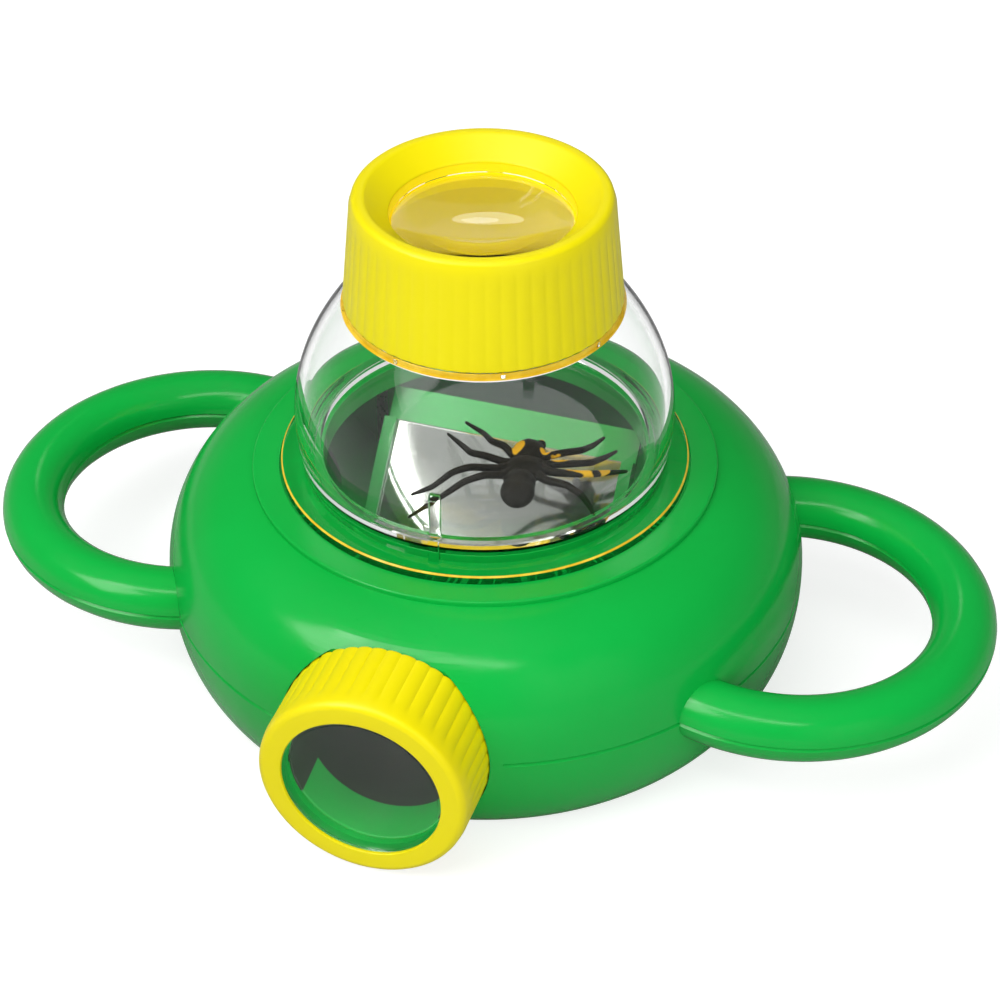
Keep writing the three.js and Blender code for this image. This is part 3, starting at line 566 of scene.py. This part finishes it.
def lowerShellBody():
    notch = shell["notch"]
    wall = shell["wall"]
    side = lowerSide(0, notch)
    foot = angleAtHeight(shell["seam"] - wall, shell["drop"] - wall)
    inner = sideCurve(wall, shell["drop"], -foot, 0, 14)
    return spun([
        (0, 0),
        (side[0][0], 0, shell["baseFillet"]),
        *side[2:],
        (shell["radius"] - notch, shell["seam"]),
        *reversed(inner),
        (0, wall),
    ], shell["steps"], False)


def halfHandle(side, up):
    # half of the tube above or below the seam, as a solid ring
    middle = handle["ringRadius"]
    tube = handle["tubeRadius"]
    notch = shell["notch"]
    first = notch / tube
    arc = [first + (math.pi - 2 * first) * i / handle["tubeSteps"] for i in range(handle["tubeSteps"] + 1)]
    corners = [(middle + tube - notch, shell["seam"])]
    corners += [(middle + tube * math.cos(a), shell["seam"] + up * tube * math.sin(a)) for a in arc]
    corners.append((middle - tube + notch, shell["seam"]))
    ring = spun(corners, handle["ringSteps"])
    return placed(ring, Matrix.Translation((side * handle["centre"] * mm, 0, 0)))


def eyeDisc(radius, near, far):
    disc = spun([(0, near), (radius, near), (radius, far), (0, far)], eyeWay["steps"], False)
    return placed(disc, onEyeAxis(eyeAxis))


def makeShell(name, body, form, up):
    # a shell with its half of both handles, and of the boss and pocket of the eyepiece
    shape = asObject(body(), name)
    for side in (1, -1):
        grip = asObject(halfHandle(side, up), "grip")
        combine(grip, "DIFFERENCE", asObject(form(shell["wall"] / 2), "core"))
        combine(shape, "UNION", grip)
    pocketRadius = eyeRadius + eyeWay["pocketGap"]
    bossRadius = pocketRadius + eyeWay["bossWall"]
    boss = asObject(eyeDisc(bossRadius, eyeWay["bossInner"], shell["radius"]), "boss")
    combine(boss, "INTERSECT", asObject(form(0), "outside"))
    combine(shape, "UNION", boss)
    pocket = eyeDisc(pocketRadius, eyeWay["pocketFace"], shell["radius"] + 2)
    bore = eyeDisc(eyeWay["bore"], eyeWay["bossInner"] - 1, shell["radius"])
    return combine(shape, "DIFFERENCE", asObject(pocket, "pocket"), asObject(bore, "bore"))


upperShell = makeShell("upperShell", upperShellBody, upperForm, 1)
lowerShell = makeShell("lowerShell", lowerShellBody, lowerForm, -1)
finished(upperShell, "green", "green_plastic", "root", "upper_shell")
finished(lowerShell, "green", "green_plastic", "root", "lower_shell")


# Clear dome with its floor

# neck, tube and caps are smooth here; only the solids have the screw threads
dome = {
    "flangeRadius": domeHigh.x,
    "flangeTop": 49.7,
    "footRadius": 37.8,
    "widest": 39.45,
    "widestHeight": 61,
    "shoulderRadius": 28,
    "shoulder": 88.3,
    "collar": 1.1,
    "collarReach": 0.25,  # how far the collar stands out from the shoulder
    "neckRadius": 23.2,
    "neckWall": 2.2,
    "wall": 1.8,
    "ledgeRadius": 34.7,
    "ledge": 1.8,
    "seat": shell["seat"],
    "steps": 192,
    "ribWidth": 2.3,
    "ribDepth": 0.8,
    "ribFoot": 54.6,
    "ribTop": 65,
    "ribTurn": 3,
    "lugs": 8,
    "lugWidth": 0.9,
    "lugTurn": -64,
    "hooks": 4,
    "hookRadius": 37.8,
    "hookDepth": 1.6,
    "hookWidth": 7.4,
    "hookFoot": 43.2,
}


def domeRadius(height):
    if height > dome["widestHeight"]:
        share = (height - dome["widestHeight"]) / (dome["shoulder"] - dome["widestHeight"])
        return dome["shoulderRadius"] + (dome["widest"] - dome["shoulderRadius"]) * (1 - share ** 2)
    share = (dome["widestHeight"] - height) / (dome["widestHeight"] - dome["flangeTop"])
    return dome["widest"] - (dome["widest"] - dome["footRadius"]) * share ** 2


def domeCurve(inset, start, end, steps):
    heights = [start + (end - start) * i / steps for i in range(steps + 1)]
    return [(domeRadius(height) - inset, height) for height in heights]


def addBlock(shape, name, turn, size, radius, height, rounding=0):
    # joins a block on, its middle at a radius and height, turned about the axis by some degrees
    block = boxed(size, (radius, 0, height), rounding)
    placed(block, Matrix.Rotation(math.radians(turn), 4, "Z"))
    return combine(shape, "UNION", asObject(block, name))


def makeDome():
    collarFoot = dome["shoulder"] - dome["collar"]
    collarRadius = dome["shoulderRadius"] + dome["collarReach"]
    ledgeTop = floorHigh.z + dome["ledge"]
    ledgeFoot = floorHigh.z + 0.05
    spigot = floorHigh.x + shell["recessGap"]
    bore = dome["neckRadius"] - dome["neckWall"]
    corners = [
        (spigot, dome["seat"]),
        (dome["flangeRadius"], dome["seat"], 0.4),
        (dome["flangeRadius"], dome["flangeTop"], 0.6),
        (dome["footRadius"] + 0.6, dome["flangeTop"]),
        *domeCurve(0, dome["flangeTop"] + 0.6, collarFoot, 30),
        (collarRadius, collarFoot),
        (collarRadius, dome["shoulder"], 0.25),
        (dome["neckRadius"], dome["shoulder"]),
        (dome["neckRadius"], domeHigh.z, 0.4),
        (bore, domeHigh.z, 0.4),
        (bore, collarFoot, 0.8),
        *reversed(domeCurve(dome["wall"], ledgeTop, collarFoot - 1, 28)),
        (dome["ledgeRadius"], ledgeTop, 0.3),
        (dome["ledgeRadius"], ledgeFoot),
        (spigot, ledgeFoot),
    ]
    shape = asObject(spun(corners, dome["steps"]), "clearDome")
    outer = domeRadius(dome["ribFoot"])
    inner = outer - dome["wall"]
    for side in (1, -1):
        turn = side * 90 + dome["ribTurn"]
        tall = dome["ribTop"] - dome["ribFoot"]
        middle = inner - dome["ribDepth"] / 2 + 0.3
        addBlock(
            shape, "rib", turn, (dome["ribDepth"] + 0.6, dome["ribWidth"], tall),
            middle, dome["ribFoot"] + tall / 2, 0.2)
        tall = dome["ribTop"] - dome["flangeTop"] + 1
        addBlock(
            shape, "bead", turn, (1.6, dome["ribWidth"], tall),
            outer - 0.4, dome["flangeTop"] - 1 + tall / 2, 0.3)
    for i in range(dome["lugs"]):
        addBlock(
            shape, "lug", dome["lugTurn"] + 360 / dome["lugs"] * i, (1.2, dome["lugWidth"], dome["collar"]),
            dome["shoulderRadius"] + 0.1, dome["shoulder"] - dome["collar"] / 2, 0.2)
    for i in range(dome["hooks"]):
        addBlock(
            shape, "hook", 45 + 360 / dome["hooks"] * i,
            (dome["hookDepth"], dome["hookWidth"], dome["seat"] - dome["hookFoot"] + 1),
            dome["hookRadius"] + dome["hookDepth"] / 2, (dome["seat"] + dome["hookFoot"] + 1) / 2)
    return shape


domePiece = finished(makeDome(), "clear", "clear_plastic", "root", "dome")


def onPaintedAmberReflection(place, normal):
    # the faces with the painted reflection of the yellow cap: a thin line round the flange, and the collar
    # with the top of the shoulder beside it
    radius = place.xy.length
    if radius > dome["flangeRadius"] - 0.4:
        return 0.02 < dome["flangeTop"] - place.z < 0.32
    onCollar = radius < dome["shoulderRadius"] + 0.35 or normal.z > 0.8
    besideShoulder = radius > dome["shoulderRadius"] - 0.1
    return onCollar and besideShoulder and place.z > dome["shoulder"] - dome["collar"] - 0.05


# the flange line and the collar get the painted reflection of the yellow cap
repaint(domePiece, "paintedAmberReflection", onPaintedAmberReflection)


def makeFloor():
    radius = floorHigh.x
    corners = [(0, floorLow.z), (radius, floorLow.z, 0.2), (radius, floorHigh.z, 0.2), (0, floorHigh.z)]
    return asObject(spun(corners, dome["steps"], False), "chamberFloor")


finished(makeFloor(), "clearFloor", "clear_plastic", "root", "chamber_floor")


# Ribbed caps

topCap = {
    "skirtRadius": capHigh.x,
    "shoulderRadius": 26.5,
    "rimRadius": 25.7,
    "rimBand": 2.4,
    "dishRadius": 23.5,
    "dishDepth": 4.1,
    "holeRadius": 18.65,
    "lip": 2.5,
    "bore": 24.7,
    "ringRecess": 22.3,
    "lensRecess": 20.7,
    "ribs": 56,
    "ribDepth": 0.16,
    "ribPower": 0.8,  # below 1 the grooves are narrow and the ribs wide
    "ribFade": 2.5,
    "stepsPerRib": 8,
}
# the heights of a lens: its flat rim, the low plug over it, and its crowns under and over
topLens = {"rim": 2.2, "plug": 0.6, "under": 1.0, "over": 1.4, "rimWidth": 2.3, "steps": 96}
retainerRing = {"topThick": 2.2, "topBore": 18.2, "eyeThick": 1.8, "eyeBore": 16.4, "gap": 0.3, "steps": 128}
eyeCap = {
    "rear": -eyeCapHigh.y,
    "front": -eyeCapLow.y,
    "radius": eyeRadius,
    "frontRadius": 20.9,
    "smoothBand": 3,
    "holeRadius": 16.6,
    "lip": 0.7,
    "bore": 19.7,
    "ringRecess": 19.5,
    "lensRecess": 18.6,
    "ribs": 44,
    "ribDepth": 0.34,
    "ribPower": 0.6,
    "ribFade": 1.5,
    "stepsPerRib": 8,
}


def cutGrooves(bm, spec, outer, top):
    # draws the skirt's outside in between the ribs, fading out at the smooth band
    for vert in bm.verts:
        radius = vert.co.xy.length / mm
        height = vert.co.z / mm
        if radius < outer(height) - 0.05 or height > top:
            continue
        angle = math.atan2(vert.co.y, vert.co.x)
        groove = abs(math.sin(spec["ribs"] * angle / 2)) ** spec["ribPower"]
        share = min(1, (top - height) / spec["ribFade"])
        scale = (radius - spec["ribDepth"] * (1 - groove) * share) / radius
        vert.co.x *= scale
        vert.co.y *= scale


def ladder(first, last, steps):
    # even steps from one corner to another, which the grooves need along a straight side
    return [tuple(a + (b - a) * i / steps for a, b in zip(first, last)) for i in range(steps + 1)]


def makeTopCap():
    top = capHigh.z
    foot = capLow.z
    shoulder = top - topCap["rimBand"]
    holeTop = top - topCap["dishDepth"]
    lipUnder = holeTop - topCap["lip"]
    lensFoot = low("top_lens_ring").z + retainerRing["topThick"]
    ringFoot = low("top_lens_ring").z - retainerRing["gap"]
    corners = [
        (topCap["bore"], foot, 0.3),
        (topCap["skirtRadius"], foot, 0.3),
        *ladder((topCap["skirtRadius"] - 0.05, foot + 0.8), (topCap["shoulderRadius"], shoulder), 12),
        (topCap["rimRadius"] + 0.1, top, 0.9),
        (topCap["dishRadius"], top, 0.5),
        (topCap["holeRadius"], holeTop, 0.3),
        (topCap["holeRadius"], lipUnder),
        (topCap["lensRecess"], lipUnder),
        (topCap["lensRecess"], lensFoot),
        (topCap["ringRecess"], lensFoot),
        (topCap["ringRecess"], ringFoot),
        (topCap["bore"], ringFoot),
    ]
    bm = spun(corners, topCap["ribs"] * topCap["stepsPerRib"])
    slope = (topCap["skirtRadius"] - topCap["shoulderRadius"]) / (shoulder - foot)
    cutGrooves(bm, topCap, lambda z: topCap["skirtRadius"] - slope * (z - foot) - 0.2, shoulder + 0.01)
    return asObject(bm, "topCap")


def lensBody(radius, foot, spec):
    # lens in its flat rim, the front crown raised on a low plug
    crownRadius = radius - spec["rimWidth"]
    rimTop = foot + spec["rim"]
    plugTop = rimTop + spec["plug"]
    shares = [i / 16 for i in range(17)]
    rounds = [(crownRadius * share, 1 - share ** 2) for share in shares]
    under = [(out, foot - spec["under"] * bulge) for out, bulge in rounds]
    over = [(out, plugTop + spec["over"] * bulge) for out, bulge in reversed(rounds)]
    rim = [(radius, foot, 0.2), (radius, rimTop, 0.2), (crownRadius, rimTop)]
    return spun([*under, *rim, *over], spec["steps"], False)


def retainer(name, radius, bore, foot, top):
    # a ring with two notches for a peg spanner
    corners = [(bore, foot, 0.3), (radius, foot, 0.2), (radius, top), (bore, top)]
    shape = asObject(spun(corners, retainerRing["steps"]), name)
    for side in (1, -1):
        notch = boxed((radius - bore + 4, 2.4, 1.6), (side * (bore + radius) / 2, 0, foot))
        combine(shape, "DIFFERENCE", asObject(notch, "notch"))
    return shape


topCapPiece = finished(makeTopCap(), "yellow", "yellow_plastic", "top_cap", "top_cap")
# the inner wall of the cap below the dish gets the painted amber glow
repaint(topCapPiece, "paintedGlowYellow", lambda place, normal: (
    place.xy.length < topCap["bore"] + 0.2 and place.z < capHigh.z - topCap["dishDepth"] - 0.3))
topLensBody = lensBody(high("top_lens").x, high("top_lens_ring").z, topLens)
finished(asObject(topLensBody, "topLens"), "lens", "lens", "top_lens", "top_lens")
topRingFoot = low("top_lens_ring")
topRingHead = high("top_lens_ring")
topRing = retainer("topLensRing", topRingHead.x, retainerRing["topBore"], topRingFoot.z, topRingHead.z)
# the lens ring gets the painted amber glow
finished(topRing, "paintedGlowYellow", "yellow_plastic", "top_cap", "top_lens_ring")


# Eyepiece

# distances along the eyepiece's axis are counted forwards, from the middle of the body
eyeRingRear = -high("eyepiece_lens_ring").y
eyeRingFront = -low("eyepiece_lens_ring").y
eyeLens = {"rim": 3.8, "plug": 0.1, "under": 0.9, "over": 0.4, "rimWidth": 2.4, "steps": 96}
tube = {
    "radius": 18.2,
    "wall": 1.9,
    "flangeRadius": 20.7,
    "flangeInner": 56.2,
    "flangeOuter": 58.4,
    "end": 72,
    "inner": 34,
    "litFrom": 62.5,  # farther in than this the bore gets painted shade
    "litBelow": 8.5,  # and so does all that isn't this far below the axis
    "steps": 128,
}


def makeEyeCap():
    front = eyeCap["front"]
    rear = eyeCap["rear"]
    shoulder = front - eyeCap["smoothBand"]
    lipInside = front - eyeCap["lip"]
    lensRear = eyeRingRear + retainerRing["eyeThick"]
    ringRear = eyeRingRear - retainerRing["gap"]
    corners = [
        (eyeCap["bore"], rear, 0.2),
        (eyeCap["radius"], rear, 0.3),
        *ladder((eyeCap["radius"], rear + 0.8), (eyeCap["radius"], shoulder), 8),
        (eyeCap["frontRadius"] + 0.5, front, 1.4),
        (eyeCap["holeRadius"], front, 0.3),
        (eyeCap["holeRadius"], lipInside),
        (eyeCap["lensRecess"], lipInside),
        (eyeCap["lensRecess"], lensRear),
        (eyeCap["ringRecess"], lensRear),
        (eyeCap["ringRecess"], ringRear),
        (eyeCap["bore"], ringRear),
    ]
    bm = spun(corners, eyeCap["ribs"] * eyeCap["stepsPerRib"])
    cutGrooves(bm, eyeCap, lambda z: eyeCap["radius"] - 0.3, shoulder + 0.01)
    return asObject(placed(bm, onEyeAxis(eyeAxis)), "eyepieceCap")


def makeTube():
    bore = tube["radius"] - tube["wall"]
    corners = [
        (bore, tube["litFrom"]),  # parts the end of the bore with painted glow from the one with painted shade
        (bore, tube["inner"], 0.3),
        (tube["radius"], tube["inner"], 0.3),
        (tube["radius"], tube["flangeInner"]),
        (tube["flangeRadius"], tube["flangeInner"]),
        (tube["flangeRadius"], tube["flangeOuter"]),
        (tube["radius"], tube["flangeOuter"]),
        (tube["radius"], tube["end"], 0.4),
        (bore, tube["end"], 0.4),
    ]
    return asObject(placed(spun(corners, tube["steps"]), onEyeAxis(eyeAxis)), "eyepieceTube")


# the bore gets the painted green glow
tubePiece = finished(makeTube(), "paintedGlowGreen", "green_plastic", "root", "eyepiece_tube")
# painted shade on the deep end of the bore and on all but its lower part
repaint(tubePiece, "paintedShadeInside", lambda place, normal: (
    -place.y < tube["litFrom"] or place.z > eyeAxis - tube["litBelow"]))
eyeCapPiece = finished(makeEyeCap(), "yellow", "yellow_plastic", "eyepiece_cap", "eyepiece_cap")
# painted shade on the inside of the cap behind its lip, near black instead of yellow
repaint(eyeCapPiece, "paintedShadeInside", lambda place, normal: (
    math.hypot(place.x, place.z - eyeAxis) < eyeCap["lensRecess"] + 0.1
    and -place.y < eyeCap["front"] - eyeCap["lip"] + 0.05))
eyeLensBody = lensBody(high("eyepiece_lens").x, eyeRingRear + retainerRing["eyeThick"], eyeLens)
eyeLensPiece = asObject(placed(eyeLensBody, onEyeAxis(eyeAxis)), "eyepieceLens")
finished(eyeLensPiece, "eyeLens", "lens", "eyepiece_lens", "eyepiece_lens")
eyeRingRadius = high("eyepiece_lens_ring").x
eyeRing = retainer("eyepieceLensRing", eyeRingRadius, retainerRing["eyeBore"], eyeRingRear, eyeRingFront)
eyeRing.data.transform(onEyeAxis(eyeAxis))
# the lens ring gets the painted green glow
finished(eyeRing, "paintedGlowGreen", "yellow_plastic", "eyepiece_cap", "eyepiece_lens_ring")


# Mirror on its bracket

mirror = {"width": 53.6, "length": 48, "thickness": 2, "edge": 0.5}


def makeMirror():
    # the middle of its face lies on the eyepiece axis, at 45 degrees to it
    size = (mirror["width"], mirror["length"], mirror["thickness"])
    plate = boxed(size, (0, 0, -mirror["thickness"] / 2), mirror["edge"])
    tilt = Matrix.Translation((0, 0, eyeAxis * mm)) @ Matrix.Rotation(math.pi / 4, 4, "X")
    return asObject(placed(plate, tilt), "mirrorPlate")


finished(makeMirror(), "mirror", "mirror", "root", "mirror")


# Toy spider

spider = {
    "place": (12.8, -11.2),
    "lift": 4.3,
    "turn": 11,
    "voxel": 0.25,
    "root": 1.6,
    "thickness": (0.95, 0.85, 0.8, 0.66, 0.4),  # half the leg's, at each of its points
    "legs": {
        "leftFirst": [
            (-3, 0.9, 4.6), (-5.6, 2.2, 6.1), (-8.6, 3.3, 5.6),
            (-12.4, 9.4, 2.6), (-18.4, 14.6, 0.6),
        ],
        "leftSecond": [
            (-4.2, -1.4, 4.6), (-8, -2.4, 6.2), (-11.6, -1.4, 5.4),
            (-15.6, 4.2, 2.6), (-20.6, 9.6, 0.6),
        ],
        "leftThird": [
            (-4.4, -3.6, 4.6), (-9.8, -7.4, 6.6), (-12.9, -9, 5.8),
            (-16.6, -11.4, 2.8), (-21, -12.6, 0.6),
        ],
        "leftFourth": [
            (-3.2, -5.4, 4.6), (-6.4, -8.6, 6.2), (-9.6, -11.2, 5.8),
            (-14.2, -14.6, 2.8), (-19, -19.6, 0.6),
        ],
        "rightFirst": [
            (2.6, 2.6, 4.6), (6.4, 3.2, 6.2), (9.8, 6.4, 5.4),
            (10.6, 12, 2.8), (11.4, 18.4, 0.6),
        ],
        "rightSecond": [
            (4.6, 0.8, 4.6), (10, 0.6, 6.2), (12.8, 3, 5.4),
            (14, 8.8, 2.8), (15.2, 14.6, 0.6),
        ],
        "rightThird": [
            (5.6, -1.6, 4.6), (11.4, -2.8, 6.4), (14.4, -0.4, 5.4),
            (16.6, 4.4, 2.8), (19, 8.6, 0.6),
        ],
        "rightFourth": [
            (5, -4.4, 4.6), (10.4, -6.4, 6), (13.4, -6.2, 4),
            (15.2, -6.6, 2), (16.4, -8, 0.6),
        ],
    },  # from the body out to the tip, beside the body's centre and above the floor
    "lumps": [
        ((-0.6, 3.2, 4.6), (7, 7.4, 4.8)),
        ((0.2, -2, 4.4), (8, 7.4, 4.8)),
        ((0.4, -6.4, 4.2), (6.6, 6.6, 5)),
        ((0.8, -9, 4), (7, 8.4, 5.4)),
        ((-1.8, 6.6, 4.2), (2.2, 3.2, 2)),
        ((0.8, 7, 4.2), (2.2, 3, 2)),
    ],  # centre and size of each lump of the body
    "paint": [
        ((-2.6, 2.6), (1.6, 2.6)), ((2.8, 3.2), (1.6, 1.2)), ((6.6, 1.6), (3.2, 1.3)),
        ((11.4, -1.6), (4.4, 1.6)), ((15.6, 2.6), (2.4, 2.6)), ((0.6, 8.2), (1.4, 0.8)),
    ],  # centre and half size of the yellow-orange patches, seen from above
}


def makeSpiderLegs():
    bm = bmesh.new()
    skin = bm.verts.layers.skin.verify()
    root = bm.verts.new((0, 0, spider["lift"] * mm))
    root[skin].radius = (spider["root"] * mm, spider["root"] * mm)
    root[skin].use_root = True
    for path in spider["legs"].values():
        last = root
        for place, thick in zip(path, spider["thickness"]):
            vert = bm.verts.new(Vector(place) * mm)
            vert[skin].radius = (thick * mm, thick * mm)
            bm.edges.new((last, vert))
            last = vert
    legs = asObject(bm, "spiderLegs")
    legs.modifiers.new("skin", "SKIN").use_smooth_shade = True
    smooth = legs.modifiers.new("smooth", "SUBSURF")
    smooth.levels = smooth.render_levels = 2
    return applied(legs)


def patchShare(place):
    # 1 in the middle of a patch, falling to 0 at its edge
    best = 0
    for (x, y), (width, length) in spider["paint"]:
        best = max(best, 1 - math.hypot((place.x - x) / width, (place.y - y) / length) * 0.7)
    return best if place.z > spider["lift"] - 0.6 else 0


def makeSpider():
    legs = makeSpiderLegs()
    bm = bmesh.new()
    bm.from_mesh(legs.data)
    bpy.data.objects.remove(legs)
    heading = Matrix.Rotation(math.radians(spider["turn"]), 4, "Z")
    for centre, size in spider["lumps"]:
        made = bmesh.ops.create_uvsphere(bm, u_segments=32, v_segments=16, radius=0.5 * mm)
        bmesh.ops.transform(bm, matrix=heading @ Matrix.Diagonal((*size, 1)), verts=made["verts"])
        bmesh.ops.translate(bm, vec=Vector(centre) * mm, verts=made["verts"])
    shape = asObject(bm, "toySpider")
    remesh = shape.modifiers.new("fuse", "REMESH")
    remesh.mode = "VOXEL"
    remesh.voxel_size = spider["voxel"] * mm
    smooth = shape.modifiers.new("smooth", "SMOOTH")
    smooth.factor = 0.5
    smooth.iterations = 6
    applied(shape)
    paint = shape.data.attributes.new("paint", "FLOAT", "POINT")
    for vert, value in zip(shape.data.vertices, paint.data):
        value.value = patchShare(vert.co / mm)
    shape.data.transform(Matrix.Translation(Vector((*spider["place"], floorHigh.z)) * mm))
    return shape


finished(makeSpider(), "spider", "spider_rubber", "root", "toy_spider", sharp=180)


# CAD nodes that stay, with their finishes

for name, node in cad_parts.items():
    if name == "mirror_bracket" or "screw" in name:
        # the bracket gets the green painted lighter, standing in for a highlight; the screws get steel
        for slot in node.material_slots:
            slot.material = finishes["steel" if "screw" in name else "greenPaintedLighter"]


# Stage

studio = {
    "gloss": (0.05, 0.4, 0.3, 0.14),  # lower and upper height of the sky, grey at each
    "clear": (0.72, 0.742, 1, 0.42),  # the same for the camera, also through clear plastic
    "paper": 0.75,  # extra white of the paper as the camera sees it
    "paperRadius": 4,  # metres
    "paperDrop": 0.0002,
}


def addWorld():
    # what the camera and the clear plastic show of the room is paler than what the gloss shows
    world = bpy.data.worlds.new("studio")
    bpy.context.scene.world = world
    world.use_nodes = True
    tree = world.node_tree
    tree.nodes.clear()
    place = tree.nodes.new("ShaderNodeTexCoord")
    split = tree.nodes.new("ShaderNodeSeparateXYZ")
    path = tree.nodes.new("ShaderNodeLightPath")
    mix = tree.nodes.new("ShaderNodeMix")
    background = tree.nodes.new("ShaderNodeBackground")
    output = tree.nodes.new("ShaderNodeOutputWorld")
    tree.links.new(place.outputs["Generated"], split.inputs[0])
    seen = tree.nodes.new("ShaderNodeMath")
    seen.operation = "MAXIMUM"
    tree.links.new(path.outputs["Is Camera Ray"], seen.inputs[0])
    tree.links.new(path.outputs["Is Transmission Ray"], seen.inputs[1])
    tree.links.new(seen.outputs["Value"], mix.inputs["Factor"])
    for key, socket in (("gloss", "A"), ("clear", "B")):
        ramp = tree.nodes.new("ShaderNodeMapRange")
        for name, value in zip(("From Min", "From Max", "To Min", "To Max"), studio[key]):
            ramp.inputs[name].default_value = value
        tree.links.new(split.outputs["Z"], ramp.inputs["Value"])
        tree.links.new(ramp.outputs["Result"], mix.inputs[socket])
    tree.links.new(mix.outputs["Result"], background.inputs["Strength"])
    tree.links.new(background.outputs["Background"], output.inputs["Surface"])


def addStage():
    bm = bmesh.new()
    bmesh.ops.create_circle(bm, cap_ends=True, segments=64, radius=studio["paperRadius"])
    bmesh.ops.translate(bm, vec=(0, 0, -studio["paperDrop"]), verts=bm.verts)
    ground = asObject(bm, "floor")
    finish = Finish("floorPaper")
    colour = finish.blend(finish.noise(3, 2), (0.40, 0.40, 0.40), (0.43, 0.43, 0.43))
    path = finish.node("ShaderNodeLightPath")
    seen = finish.maximum(path["Is Camera Ray"], path["Is Transmission Ray"])
    ground.data.materials.append(finish.principled(
        Base_Color=colour, Roughness=0.9, Specular_IOR_Level=0.1, Emission_Color=(1, 1, 1, 1),
        Emission_Strength=seen * studio["paper"]))
    addWorld()
    # name, middle in metres, width and height, radiance
    addSoftbox("stripBox", (-0.10, -0.53, 0.85), (0.9, 0.13), 4.8)
    addSoftbox("leftBox", (-0.52, -0.62, 0.67), (0.44, 0.5), 5, (-0.49, 0.71, 0.51))
    addSoftbox("backBox", (-0.25, 0.78, 0.655), (0.17, 0.085), 2).data.shape = "ELLIPSE"
    fills = [
        addSoftbox("fillBox", (-0.4, -0.3, 1.3), (1.6, 1.6), 1.75),
        addSoftbox("rightFill", (1.0, -0.9, 0.6), (1, 1), 3.4),
    ]
    for fill in fills:
        # the fills light the object without a reflection of their own
        fill.visible_glossy = False
        fill.visible_transmission = False


addStage()
addCamera()
bpy.context.scene.view_settings.view_transform = "Standard"
print("stage set")
